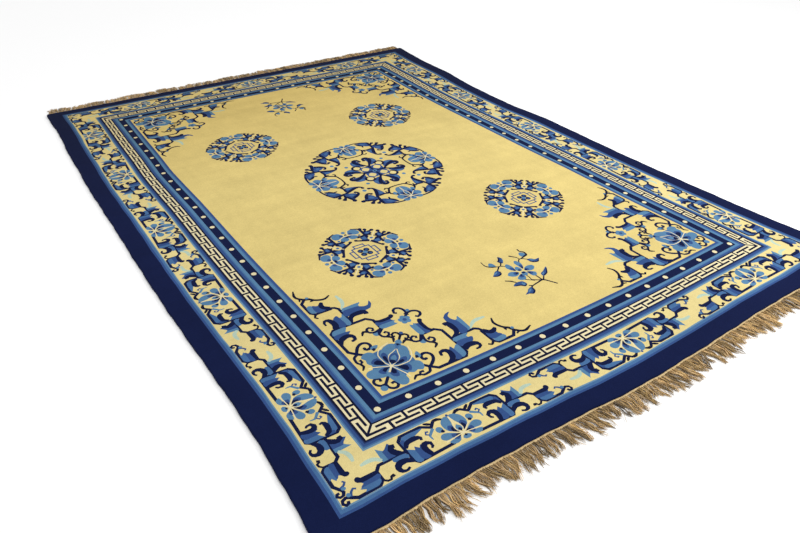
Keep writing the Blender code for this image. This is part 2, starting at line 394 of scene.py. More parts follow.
def end_points(sign, outward=0.0):
    """Points along an end edge from corner to corner, left to right, moved outward if asked."""
    left = corner_arc(-1, sign)[-1][0]
    right = corner_arc(1, sign)[-1][0]
    places = [left + (right - left) * k / END_STEPS for k in range(END_STEPS + 1)]
    return [(across, sign * (end_edge(sign, across) + outward)) for across in places]


def rug_outline():
    """Outline of the knotted cloth before it is centred, counter-clockwise."""
    near_right = corner_arc(1, -1)
    far_right = corner_arc(1, 1)
    far_left = corner_arc(-1, 1)
    near_left = corner_arc(-1, -1)
    points = near_right[::-1]
    points += side_points(1, near_right[0][1], far_right[0][1])
    points += far_right
    points += end_points(1)[-2:0:-1]
    points += far_left[::-1]
    points += side_points(-1, far_left[0][1], near_left[0][1])
    points += near_left
    points += end_points(-1)[1:-1]
    return [bend(*point) for point in points]


def centre_shift(outline):
    """From the straight rug's own origin to the frame's: the CAD cloth tells by how much."""
    low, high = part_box("rug_body")
    middle_x = (min(p[0] for p in outline) + max(p[0] for p in outline)) / 2
    middle_y = (min(p[1] for p in outline) + max(p[1] for p in outline)) / 2
    return (low[0] + high[0]) / 2 - middle_x, (low[1] + high[1]) / 2 - middle_y


OUTLINE = rug_outline()
SHIFT = centre_shift(OUTLINE)


def on_floor(across, along):
    """Floor position of a point given on the straight rug."""
    x, y = bend(across, along)
    return x + SHIFT[0], y + SHIFT[1]


def woven(across, along):
    """Floor position of a point of the design: the weaving is uneven, as its edges are."""
    side = -1 if across < 0 else 1
    end = -1 if along < 0 else 1
    beyond_end = max(0.0, (abs(along) - RING_HALF_LENGTH) / (HALF_LENGTH - RING_HALF_LENGTH))
    lie = along + end * beyond_end * (end_edge(end, across) - HALF_LENGTH)
    column = "left" if side < 0 else "right"
    at_pearls = table_value(PEARL_LINES, "along", column, lie)
    share = abs(across) / RING_HALF_WIDTH
    if share <= 1:
        outward = at_pearls * share * share
    else:
        f = (abs(across) - RING_HALF_WIDTH) / (HALF_WIDTH - RING_HALF_WIDTH)
        outward = at_pearls + f * (side_edge(side, lie) - HALF_WIDTH - at_pearls)
    return on_floor(across + side * outward, lie)


# Drawing of the design: shapes with a dye, painted in order, the last on top

Shape = namedtuple("Shape", "dye outline")


def smooth(points, closed=False):
    """Points of a Catmull-Rom curve through a few charted ones."""
    count = len(points)
    spans = count if closed else count - 1
    path = []
    for i in range(spans):
        p0 = points[i - 1] if closed or i > 0 else points[0]
        p1 = points[i]
        p2 = points[(i + 1) % count]
        p3 = points[(i + 2) % count] if closed or i + 2 < count else points[-1]
        steps = max(1, min(MOST_STEPS, round(math.dist(p1, p2) / LONGEST_STEP)))
        for k in range(steps):
            f = k / steps
            path.append(tuple(
                0.5 * (2 * b + f * (c - a) + f * f * (2 * a - 5 * b + 4 * c - d)
                       + f ** 3 * (3 * b - a - 3 * c + d))
                for a, b, c, d in zip(p0, p1, p2, p3)
            ))
    if not closed:
        path.append(points[-1])
    return path


def ribbon(path, widths):
    """Outline of a band along a path, its widths spread evenly over the path's points."""
    left = []
    right = []
    last = len(path) - 1
    for k, (x, y) in enumerate(path):
        before = path[max(k - 1, 0)]
        after = path[min(k + 1, last)]
        length = math.dist(before, after) or 1.0
        across = (-(after[1] - before[1]) / length, (after[0] - before[0]) / length)
        at = k / last * (len(widths) - 1)
        i = min(int(at), len(widths) - 2)
        half = 0.5 * (widths[i] + (at - i) * (widths[i + 1] - widths[i]))
        left.append((x + half * across[0], y + half * across[1]))
        right.append((x - half * across[0], y - half * across[1]))
    return left + right[::-1]


def form(dye, *points):
    """Rounded closed shape."""
    return Shape(dye, smooth(points, closed=True))


def facet(dye, *points):
    """Straight-sided closed shape."""
    return Shape(dye, list(points))


def rail(dye, width, *points):
    """Straight runs with mitred bends, as of a scroll's frame."""
    left = []
    right = []
    for k, point in enumerate(points):
        before = Vector(points[k - 1]) if k else None
        after = Vector(points[k + 1]) if k + 1 < len(points) else None
        here = Vector(point)
        come = (here - before).normalized() if before else (after - here).normalized()
        leave = (after - here).normalized() if after else come
        tangent = (come + leave).normalized()
        across = Vector((-tangent.y, tangent.x))
        half = 0.5 * width / max(MITRE_LIMIT, tangent.dot(come))
        left.append(tuple(here + half * across))
        right.append(tuple(here - half * across))
    return Shape(dye, left + right[::-1])


def stem(dye, widths, *points):
    """Curved line; widths are given from its start to its end, and thin dark lines spread a little."""
    if not isinstance(widths, tuple):
        widths = (widths, widths)
    more = DARK_SPREAD if dye in ("navy", "ink") and max(widths) < THIN_LINE else 0.0
    return Shape(dye, ribbon(smooth(points), [width + more for width in widths]))


def spot(dye, x, y, radius):
    """Round dot."""
    angles = [2 * math.pi * (k + 0.5) / SPOT_SIDES for k in range(SPOT_SIDES)]
    return Shape(dye, [(x + radius * math.cos(a), y + radius * math.sin(a)) for a in angles])


def redrawn(shapes, turn):
    """The shapes with every point moved; turn says where a point goes."""
    return [Shape(s.dye, [turn(*point) for point in s.outline]) for s in shapes]


def mirrored(shapes, turn):
    """The shapes and their mirror images."""
    return shapes + redrawn(shapes, turn)


def swapped(x, y):
    """Mirrored about the diagonal."""
    return y, x


def flipped(x, y):
    """Mirrored left to right."""
    return -x, y


def upside_down(x, y):
    """Mirrored top to bottom."""
    return x, -y


def corner_motif():
    """Lotus and scrolls of a field corner, in chart squares from that corner."""
    half = [
        # frame of scroll lines, from the lotus outward
        rail("navy", 1.45, (7.2, 22.0), (4.2, 24.6), (1.9, 27.2), (1.9, 40.4), (4.0, 42.3), (19.6, 42.3),
             (21.9, 39.9), (21.7, 33.2), (19.3, 31.4)),
        rail("navy", 1.45, (12.6, 42.4), (13.6, 46.0), (13.7, 54.2), (12.5, 55.8), (9.2, 57.2)),
        rail("navy", 1.4, (11.2, 55.8), (3.4, 55.8), (1.8, 57.4), (1.8, 65.2), (4.4, 67.7)),
        # top tendrils
        stem("ink", (1.0, 1.0, 0.3), (2.8, 69.3), (2.0, 70.6), (1.9, 72.6), (3.2, 75.9)),
        stem("ink", (0.9, 0.3), (2.9, 69.4), (2.0, 67.2)),
        stem("ink", (1.1, 1.3, 1.0, 1.0, 0.4), (2.8, 69.3), (4.4, 67.8), (6.5, 67.0), (7.8, 65.5),
             (10.0, 64.2), (12.6, 63.8), (15.4, 65.2)),
        form("ink", (5.6, 65.0), (6.6, 65.9), (8.0, 65.9), (7.4, 64.7)),
        spot("light", 5.9, 68.2, 0.8),
        stem("ink", (0.8, 0.9, 0.6), (3.4, 55.6), (2.0, 53.8), (3.0, 52.6)),
        # small upper leaf
        form("light", (2.3, 57.2), (2.3, 61.8), (4.6, 62.2), (5.2, 57.0)),
        form("royal", (4.6, 56.6), (4.8, 61.9), (6.4, 60.9), (8.2, 60.4), (9.0, 56.6)),
        stem("navy", (2.0, 2.4, 2.4, 1.2), (11.0, 56.6), (8.6, 58.4), (8.6, 60.6), (9.8, 62.2)),
        # pale streak and large leaf
        stem("pale", (1.0, 1.9, 1.6, 0.6), (17.6, 63.4), (17.7, 58.4), (16.4, 55.4), (14.4, 53.2)),
        form("light", (14.2, 51.0), (14.8, 53.2), (16.6, 53.8), (23.9, 53.9), (22.4, 52.4), (22.2, 50.8)),
        form("royal", (14.1, 47.6), (14.2, 51.6), (18.0, 52.0), (21.6, 51.7), (23.6, 50.5), (26.0, 50.4),
             (28.0, 52.9), (27.9, 50.6), (26.4, 48.6), (24.4, 47.6)),
        stem("navy", (0.8, 1.8, 2.4, 2.8, 3.0, 2.0), (13.6, 42.9), (14.6, 45.8), (16.6, 47.2), (19.4, 47.4),
             (22.0, 46.8), (22.0, 45.0)),
        # leaf of the middle frame
        form("light", (10.5, 42.7), (10.4, 48.6), (11.8, 48.6), (13.1, 50.4), (13.1, 42.7)),
        form("royal", (7.4, 42.7), (7.4, 48.2), (10.0, 50.4), (10.7, 48.6), (10.7, 42.7)),
        stem("navy", (2.6, 2.8, 2.8, 2.4, 1.6, 1.1, 0.9), (5.4, 42.6), (6.6, 44.8), (6.6, 47.4),
             (5.7, 49.3), (4.0, 49.5), (3.2, 48.3), (3.2, 46.6)),
        # leaf of the lower frame
        form("light", (2.4, 38.4), (2.4, 40.6), (4.2, 41.9), (9.6, 41.9), (8.4, 39.8), (7.6, 38.4)),
        form("royal", (2.4, 36.0), (2.4, 38.8), (7.8, 39.0), (9.8, 38.4), (8.4, 37.2), (8.4, 36.0)),
        stem("navy", (1.0, 2.0, 2.7, 2.5, 2.3, 1.6, 1.1), (2.2, 32.2), (3.4, 34.9), (6.0, 36.2),
             (8.0, 36.0), (9.1, 34.6), (8.8, 33.0), (6.8, 32.4)),
        # leaf that points to the small flower
        form("royal", (21.9, 35.0), (22.0, 38.2), (28.4, 37.4), (28.8, 36.0), (29.6, 34.8)),
        form("light", (21.9, 33.2), (22.0, 35.4), (29.6, 35.3), (28.6, 34.2), (29.6, 32.9), (25.0, 32.6)),
        stem("navy", (1.2, 1.8, 1.8, 2.0), (21.8, 39.2), (23.8, 37.9), (28.0, 37.7), (30.0, 38.4)),
        spot("navy", 30.0, 38.6, 1.1),
        # curls inside the frame
        spot("light", 18.0, 31.5, 1.5),
        stem("navy", 0.9, (21.6, 33.6), (19.0, 32.8), (17.0, 32.9), (15.6, 34.1), (15.9, 35.7),
             (17.4, 36.4), (18.6, 35.3), (18.2, 34.2), (17.3, 34.3)),
        stem("ink", (1.0, 1.1, 0.3), (15.7, 34.2), (14.0, 35.2), (12.2, 33.1)),
        stem("navy", 0.9, (19.6, 32.0), (18.8, 30.4), (19.1, 28.9), (20.5, 27.8), (22.0, 28.3),
             (22.7, 29.7), (21.8, 30.8), (20.9, 30.2)),
        stem("ink", (0.9, 1.1, 0.3), (20.4, 27.9), (22.3, 26.0), (20.9, 23.5)),
        stem("ink", 0.8, (25.8, 25.8), (25.6, 27.6), (24.2, 28.5), (22.9, 27.8), (22.7, 26.7),
             (23.6, 26.2)),
        # curls beside the lotus
        stem("navy", 1.1, (3.9, 24.2), (5.6, 26.8), (7.4, 28.6), (9.5, 29.3), (11.3, 28.4), (11.8, 26.6),
             (10.9, 25.2), (9.2, 24.9), (8.3, 25.9)),
        spot("navy", 8.7, 26.1, 0.75),
        stem("navy", 0.9, (4.0, 24.2), (2.2, 23.2), (1.6, 21.6), (1.6, 19.8), (2.4, 18.7), (3.5, 19.5),
             (3.5, 20.8), (2.8, 20.4)),
        stem("ink", (0.8, 0.9, 0.3), (2.2, 18.8), (2.7, 17.0), (1.1, 15.1)),
        # curls of the stem, in the very corner
        stem("navy", 0.95, (4.4, 4.5), (2.6, 4.6), (1.2, 6.0), (1.2, 7.7), (2.6, 8.8), (4.1, 7.9),
             (3.8, 6.6)),
        # curl of the small flower
        stem("navy", 1.0, (36.4, 35.4), (36.9, 37.4), (37.0, 39.4), (36.0, 41.3), (34.3, 42.0),
             (32.8, 41.0), (32.3, 39.5), (33.3, 38.8)),
    ]
    middle = [
        stem("navy", 0.95, (8.9, 8.9), (4.4, 4.4)),
        spot("light", 2.9, 2.9, 1.5),
        stem("ink", 0.8, (25.8, 25.8), (23.0, 23.0)),
        spot("royal", 26.9, 26.9, 0.9),
        stem("navy", 1.0, (34.8, 34.8), (37.0, 37.0)),
        spot("light", 38.3, 38.3, 0.9),
    ]
    middle += small_flower(33.5, 33.5, 2.9)
    return mirrored(half, swapped) + middle + lotus_corner()


def small_flower(x, y, size):
    """Five round petals round a darker eye."""
    away = 0.58 * size
    petals = []
    for k in range(5):
        angle = math.radians(90 + 72 * k)
        petals.append(spot("light", x + away * math.cos(angle), y + away * math.sin(angle), 0.44 * size))
    return petals + [spot("light", x, y, 0.5 * size), spot("royal", x, y, 0.33 * size)]


def lotus_corner():
    """The corner's lotus, which opens toward the middle of the field."""
    half = [
        # the petals' common ground, then bud and three outer petals with their shaded bases
        form("azure", (9.4, 9.4), (6.4, 9.0), (3.0, 11.6), (5.4, 15.0), (6.6, 20.6), (10.4, 22.0),
             (16.4, 22.0), (21.6, 21.6)),
        form("light", (10.7, 23.4), (10.8, 25.2), (12.8, 25.8), (14.4, 25.2), (13.4, 23.9), (12.0, 23.4)),
        form("navy", (10.9, 22.8), (10.8, 24.2), (12.0, 24.5), (12.6, 23.6), (11.6, 22.9)),
        form("light", (10.8, 13.8), (6.4, 15.2), (4.6, 17.8), (5.2, 19.6), (4.2, 21.4), (6.0, 23.2),
             (8.4, 23.4), (10.0, 22.0), (10.0, 19.4), (10.4, 16.6)),
        form("royal", (10.8, 13.8), (7.4, 15.2), (6.0, 17.2), (8.2, 18.8), (9.8, 18.6), (10.4, 16.4)),
        form("navy", (10.9, 13.7), (8.4, 14.6), (6.8, 16.0), (7.4, 17.2), (9.0, 17.6), (10.2, 16.4)),
        form("light", (11.4, 11.2), (10.0, 8.4), (6.6, 7.8), (3.6, 8.6), (1.1, 9.8), (0.7, 12.0),
             (2.2, 13.6), (5.0, 13.8), (8.2, 12.8)),
        form("royal", (11.4, 11.4), (9.8, 9.4), (6.8, 9.6), (5.8, 11.6), (8.4, 12.6)),
        form("navy", (11.4, 11.5), (10.2, 10.0), (8.0, 10.4), (7.6, 11.6), (9.0, 12.4)),
        form("light", (12.2, 13.8), (11.4, 16.6), (11.6, 19.0), (13.2, 21.4), (15.6, 23.0), (18.6, 23.6),
             (20.4, 22.4), (19.6, 20.4), (17.4, 19.0), (15.0, 18.2), (13.4, 16.4)),
        form("royal", (12.1, 13.8), (11.5, 16.6), (12.0, 19.4), (13.8, 20.2), (14.2, 18.2), (13.2, 16.0)),
        form("navy", (12.0, 13.8), (11.5, 16.6), (12.2, 18.4), (13.2, 18.0), (12.9, 15.8)),
        stem("pearl", 0.45, (11.9, 12.1), (10.9, 14.4), (10.8, 17.0), (10.9, 19.6), (12.6, 22.0),
             (15.4, 23.6), (18.8, 24.3)),
        stem("pearl", 0.45, (11.9, 12.0), (9.4, 13.2), (5.8, 14.6), (3.4, 15.0)),
        stem("pearl", 0.4, (12.0, 12.2), (13.2, 15.6), (14.8, 17.8), (17.0, 18.6), (19.4, 19.6)),
    ]
    middle = [
        form("light", (21.4, 21.4), (21.4, 23.6), (23.4, 24.0), (24.0, 23.4), (23.6, 21.4)),
        form("navy", (20.9, 20.9), (21.0, 22.4), (22.0, 22.0), (22.4, 21.0)),
        form("royal", (12.9, 12.9), (12.9, 15.2), (14.8, 17.4), (17.6, 17.6), (17.4, 14.8), (15.2, 12.9)),
        form("light", (14.2, 14.2), (14.4, 16.2), (16.9, 16.9), (16.2, 14.4)),
        form("navy", (12.9, 12.9), (12.9, 14.9), (14.0, 15.2), (15.2, 14.0), (14.9, 12.9)),
        stem("pearl", 0.8, (12.6, 12.6), (9.4, 9.4)),
    ]
    return mirrored(half, swapped) + middle


def lotus():
    """Lotus of the borders and of the central medallion, in chart squares from where its petals cross."""
    half = [
        form("light", (0.4, 9.4), (2.6, 9.3), (4.6, 7.4), (5.0, 4.9), (4.2, 2.9), (2.9, 1.7), (1.6, 2.2),
             (1.5, 4.4), (0.7, 6.4)),
        form("royal", (1.2, 1.2), (1.6, 4.8), (3.0, 5.4), (4.2, 3.8), (3.2, 1.8)),
        form("navy", (1.1, 0.9), (1.5, 3.8), (2.6, 4.2), (3.2, 2.8), (2.3, 1.2)),
        spot("light", 6.9, 5.2, 1.5),
        form("navy", (5.4, 3.8), (5.8, 4.9), (6.9, 4.5), (7.1, 3.8), (6.2, 3.3)),
        form("light", (9.2, 1.2), (8.2, 2.7), (6.3, 2.9), (4.0, 1.9), (2.0, 0.5), (3.2, 0.0), (5.6, -0.3),
             (8.0, -0.2)),
        form("light", (2.2, -0.7), (3.4, -0.9), (5.6, -0.9), (7.6, -1.4), (6.6, -2.7), (4.6, -3.0),
             (3.0, -2.2)),
        form("royal", (1.2, 0.1), (3.0, 1.1), (4.8, 1.3), (4.8, -1.0), (3.6, -1.8), (2.2, -1.0)),
        form("navy", (0.9, 0.1), (2.2, 0.7), (3.4, 0.5), (3.4, -0.8), (2.2, -0.8)),
        form("light", (0.0, -0.9), (1.0, -1.1), (1.9, -2.0), (1.2, -2.9), (0.0, -3.1)),
        stem("pearl", 0.42, (0.2, 0.3), (1.3, 2.0), (1.4, 3.8), (0.4, 5.6), (0.1, 8.9)),
        stem("pearl", 0.42, (0.2, 0.2), (2.4, 1.4), (4.2, 2.7), (5.6, 3.3)),
        stem("pearl", 0.38, (0.2, 0.0), (3.0, -0.3), (6.0, -0.6), (8.4, -0.8)),
        stem("pearl", 0.38, (0.2, -0.1), (1.6, -1.1), (2.6, -2.5)),
    ]
    middle = [
        form("light", (0.0, 4.5), (1.1, 3.4), (1.0, 1.7), (0.0, 1.0), (-1.0, 1.7), (-1.1, 3.4)),
        form("navy", (0.0, 2.9), (0.8, 2.1), (0.0, 0.7), (-0.8, 2.1)),
        form("navy", (-0.7, -1.4), (0.0, -0.6), (0.7, -1.4), (0.0, -1.8)),
        spot("pearl", 0.0, 0.0, 0.5),
    ]
    return mirrored(half, flipped) + middle


def border_unit():
    """Lotus with its scrolls to both sides, in chart squares from the floral band's outer side."""
    half = [
        # scroll frame round the lotus and its run-out
        rail("navy", 1.3, (6.0, 1.9), (21.9, 1.6), (23.2, 3.1), (23.0, 12.5), (21.2, 14.2), (12.2, 14.3),
             (8.7, 12.0), (6.2, 14.2)),
        stem("ink", (0.9, 1.1, 0.3), (6.3, 14.2), (4.4, 14.2), (2.2, 13.0)),
        stem("ink", (0.4, 1.0, 0.7), (10.4, 14.9), (9.2, 14.1), (7.9, 13.3)),
        form("navy", (8.0, 2.0), (7.0, 3.0), (5.8, 2.9), (6.2, 1.7), (7.2, 1.4)),
        # blue tendril under the frame's end
        stem("light", (1.3, 1.1, 0.9, 0.4), (8.6, 11.3), (10.2, 10.1), (11.7, 8.9), (11.6, 7.0)),
        stem("royal", (0.6, 0.9, 0.8), (11.4, 9.4), (12.6, 10.3), (11.9, 11.3), (11.0, 10.9)),
        # upper leaf in the frame
        form("azure", (22.0, 11.6), (21.2, 13.4), (18.0, 13.9), (12.0, 13.6), (14.8, 12.3), (18.0, 11.6)),
        form("royal", (22.7, 8.2), (22.7, 12.2), (21.4, 12.6), (20.6, 11.4), (21.8, 9.8)),
        stem("navy", (1.2, 1.9, 2.0, 2.2, 1.8, 1.0), (22.4, 8.6), (21.1, 10.4), (19.0, 10.9), (16.6, 10.9),
             (15.1, 10.1), (15.5, 9.0)),
        # lower leaf in the frame
        form("azure", (22.6, 1.9), (22.5, 8.2), (21.2, 7.2), (20.0, 6.4), (19.8, 1.9)),
        form("royal", (20.2, 1.9), (20.2, 6.6), (19.6, 8.0), (18.2, 6.6), (17.0, 7.8), (16.6, 1.9)),
        stem("navy", (1.7, 2.3, 2.5, 2.4, 1.9, 1.4, 0.8), (16.0, 1.9), (16.8, 4.4), (16.5, 6.5),
             (14.8, 7.2), (13.5, 6.4), (13.7, 5.0), (14.6, 4.3)),
        # stem to the next unit, ending in a spiral
        rail("navy", 1.3, (23.2, 7.7), (34.4, 7.6), (36.3, 5.8), (36.3, 2.2), (38.0, 0.7), (46.2, 0.7),
             (48.7, 2.1)),
        stem("navy", 0.9, (48.4, 2.0), (50.0, 2.6), (51.4, 2.0), (51.7, 0.9), (50.9, 0.1), (49.9, 0.5),
             (49.8, 1.3)),
        stem("royal", (1.0, 0.9, 0.7), (48.2, 2.2), (47.4, 3.7), (46.3, 4.5), (45.4, 3.9)),
        spot("light", 48.7, 3.1, 0.8),
        stem("ink", (0.5, 0.6, 0.8, 1.0), (36.2, 1.8), (35.0, 0.8), (33.8, 0.7), (33.2, 1.6), (32.5, 1.8),
             (32.3, 1.0)),
        # upright leaf on the stem
        facet("light", (32.3, 7.8), (32.1, 11.0), (31.8, 13.9), (30.6, 12.6), (29.6, 11.8), (29.6, 7.8)),
        facet("royal", (30.2, 7.8), (30.2, 11.6), (28.8, 12.3), (26.8, 14.0), (26.0, 12.6), (27.2, 7.8)),
        stem("navy", (1.6, 2.4, 2.7, 2.4, 1.8), (24.6, 7.7), (26.4, 9.1), (27.1, 10.8), (26.3, 12.1),
             (25.1, 11.8)),
        stem("pale", (0.9, 1.6, 1.7, 1.3), (39.6, 10.6), (36.4, 10.9), (33.8, 10.3), (32.2, 8.6)),
        # hanging leaf under the stem
        form("azure", (29.3, 7.1), (24.0, 7.2), (23.7, 5.0), (28.2, 5.0)),
        stem("navy", (1.7, 2.1, 2.4, 2.4, 1.9, 1.2, 0.9), (23.2, 3.2), (25.4, 4.5), (28.2, 4.4),
             (29.5, 2.9), (28.9, 1.3), (27.2, 0.9), (25.9, 1.6)),
        # last leaf
        form("azure", (36.6, 2.6), (37.0, 3.6), (43.2, 3.4), (44.4, 2.8), (42.6, 1.8), (43.4, 1.0),
             (38.2, 1.0)),
        form("royal", (36.4, 3.2), (36.6, 5.2), (43.0, 5.0), (42.4, 4.2), (43.8, 3.1)),
        stem("navy", (1.4, 1.8, 1.9, 2.0), (36.4, 5.8), (40.0, 5.6), (42.4, 5.7), (43.6, 6.4)),
        spot("navy", 43.3, 6.4, 1.15),
    ]
    crossing = 4.3
    flower = redrawn(lotus(), lambda x, y: (x, y + crossing))
    return mirrored(half, flipped) + flower + [spot("royal", 0.0, 14.0, 0.6)]


def central_medallion():
    """Round medallion of eight mirrored parts, in chart squares from its centre."""
    eighth = [
        # leaf on the rim beside the lotus
        stem("navy", (0.9, 1.2, 1.6, 1.6), (4.0, 54.6), (11.0, 54.8), (18.0, 53.2), (24.0, 50.2)),
        form("royal", (13.0, 52.6), (20.6, 52.0), (23.0, 48.0), (22.4, 43.4), (18.6, 44.6), (15.0, 48.6)),
        form("azure", (15.4, 51.2), (18.6, 50.4), (20.0, 47.0), (17.6, 47.8)),
        stem("navy", (1.6, 2.1, 1.9, 1.3), (12.6, 53.0), (13.8, 49.6), (16.2, 46.4), (15.4, 43.8)),
        # its stem down to a hook near the diagonal, with a hanging leaf
        form("royal", (14.6, 37.0), (20.6, 37.4), (19.6, 31.0), (17.4, 26.6), (15.6, 29.6)),
        form("azure", (15.4, 36.0), (17.8, 36.0), (17.2, 31.6), (15.8, 32.0)),
        stem("navy", (2.2, 2.7, 2.4, 2.6, 2.9, 2.5, 1.6), (23.6, 50.2), (23.4, 45.0), (22.4, 39.6),
             (20.2, 35.0), (18.4, 30.4), (18.0, 26.2), (20.6, 23.8)),
        spot("navy", 21.0, 24.3, 1.4),
        stem("navy", (1.6, 1.6, 1.6), (12.6, 38.4), (15.2, 37.6), (20.4, 38.2)),
        spot("navy", 12.7, 38.0, 1.4),
        # hooks on the rim
        stem("navy", (2.2, 2.3, 2.0), (22.8, 42.2), (27.0, 42.8), (30.2, 45.2)),
        spot("navy", 30.4, 45.5, 1.8),
        stem("navy", (1.6, 1.8), (23.8, 45.6), (26.2, 47.4)),
        spot("navy", 26.6, 47.8, 1.6),
        # leaf toward the diagonal
        form("royal", (23.4, 41.6), (28.6, 41.2), (33.0, 38.6), (30.2, 35.0), (26.4, 33.0), (23.8, 36.6)),
        form("azure", (25.0, 39.2), (28.2, 38.6), (28.4, 36.4), (26.0, 35.8)),
        stem("navy", (2.2, 2.6, 2.6), (27.2, 42.2), (31.6, 40.6), (35.0, 39.0)),
        spot("navy", 35.2, 39.8, 1.8),
        stem("navy", (2.4, 2.8, 2.3, 1.6), (31.4, 38.4), (29.0, 33.6), (26.0, 31.2), (24.2, 32.0)),
        spot("navy", 24.0, 32.6, 1.4),
        # ground of the lotus and dark tendrils under it
        form("azure", (0.0, 52.6), (6.6, 53.2), (9.6, 50.4), (8.4, 46.0), (4.4, 38.8), (0.0, 34.4)),
        stem("ink", (1.2, 1.6, 1.4, 1.2, 1.0), (8.6, 43.0), (11.2, 39.4), (9.8, 35.4), (6.6, 31.6),
             (0.0, 30.8)),
        stem("ink", (1.4, 1.1, 0.8), (7.6, 32.4), (10.2, 30.8), (11.8, 32.4)),
        stem("ink", (1.2, 0.9, 0.7), (10.2, 38.2), (12.4, 37.0), (12.6, 34.8)),
        # lyre of the middle cross with its leaves
        form("royal", (4.4, 23.6), (9.6, 22.6), (11.4, 18.4), (10.6, 14.6), (7.0, 12.0), (3.4, 11.0),
             (3.2, 15.6)),
        form("azure", (8.4, 21.6), (10.6, 18.4), (9.8, 15.2), (8.0, 16.6)),
        spot("navy", 2.2, 20.8, 1.5),
        stem("navy", (1.6, 2.9, 3.5, 3.6, 3.0, 2.2, 1.6), (1.8, 20.8), (2.8, 23.6), (5.6, 24.2),
             (7.0, 20.8), (5.2, 16.4), (2.6, 12.6), (0.8, 9.8)),
        form("navy", (6.8, 13.4), (11.0, 15.2), (13.8, 13.8), (11.6, 11.8), (7.6, 10.0)),
    ]
    diagonal = [
        form("cream", (22.2, 25.4), (25.4, 22.2), (29.0, 25.4), (25.4, 29.0)),
        spot("light", 25.4, 25.4, 1.7),
        spot("light", 16.8, 16.8, 1.6),
        form("ink", (6.6, 10.8), (10.8, 6.6), (14.4, 10.8), (10.8, 14.4)),
        form("cream", (7.6, 10.8), (10.8, 7.6), (13.4, 10.8), (10.8, 13.4)),
        form("royal", (0.0, 0.0), (8.0, 0.0), (9.6, 4.0), (9.0, 9.0), (4.0, 9.6), (0.0, 8.0)),
        form("cream", (2.0, 5.4), (5.4, 2.0), (8.6, 5.4), (5.4, 8.6)),
        stem("navy", (1.4, 1.6, 2.2), (0.0, 0.0), (0.0, 6.0), (0.4, 11.0)),
        stem("navy", (1.4, 1.6, 2.2), (0.0, 0.0), (6.0, 0.0), (11.0, 0.4)),
    ]
    quarter = mirrored(eighth, swapped) + diagonal
    shapes = mirrored(mirrored(quarter, flipped), upside_down)
    shapes += [spot("light", 0.0, 0.0, 2.0), spot("navy", 0.0, 0.0, 0.8)]
    return shapes + four_lotuses(wide=1.15, long=1.78, distance=51.0)


def small_lotus():
    """Lotus of the smaller medallions, in chart squares from the medallion's centre."""
    half = [
        form("light", (2.8, 38.2), (4.6, 42.6), (9.0, 44.4), (13.8, 42.0), (15.6, 37.4), (13.6, 33.6),
             (9.6, 33.2), (5.4, 35.4)),
        form("royal", (2.8, 37.4), (5.6, 39.4), (7.6, 36.8), (5.2, 35.4)),
        form("light", (0.4, 33.6), (2.2, 35.0), (5.6, 34.2), (9.2, 31.6), (9.0, 28.2), (5.6, 26.2),
             (2.0, 27.0), (0.4, 29.8)),
        form("royal", (0.4, 33.8), (2.4, 34.6), (4.0, 33.4), (3.0, 31.8), (0.4, 32.0)),
        spot("azure", 11.9, 30.2, 1.5),
        stem("pearl", 0.8, (0.3, 36.4), (3.0, 39.6), (5.6, 44.4)),
        stem("pearl", 0.8, (0.3, 35.4), (5.4, 34.9), (10.4, 32.2)),
    ]
    middle = [
        spot("light", 0.0, 42.6, 2.2),
        spot("navy", 0.0, 37.6, 1.5),
        spot("navy", 0.0, 33.2, 1.7),
        stem("pearl", 0.8, (0.0, 36.6), (0.0, 34.6)),
        stem("pearl", 0.7, (0.0, 31.2), (0.0, 26.6)),
    ]
    return mirrored(half, flipped) + middle


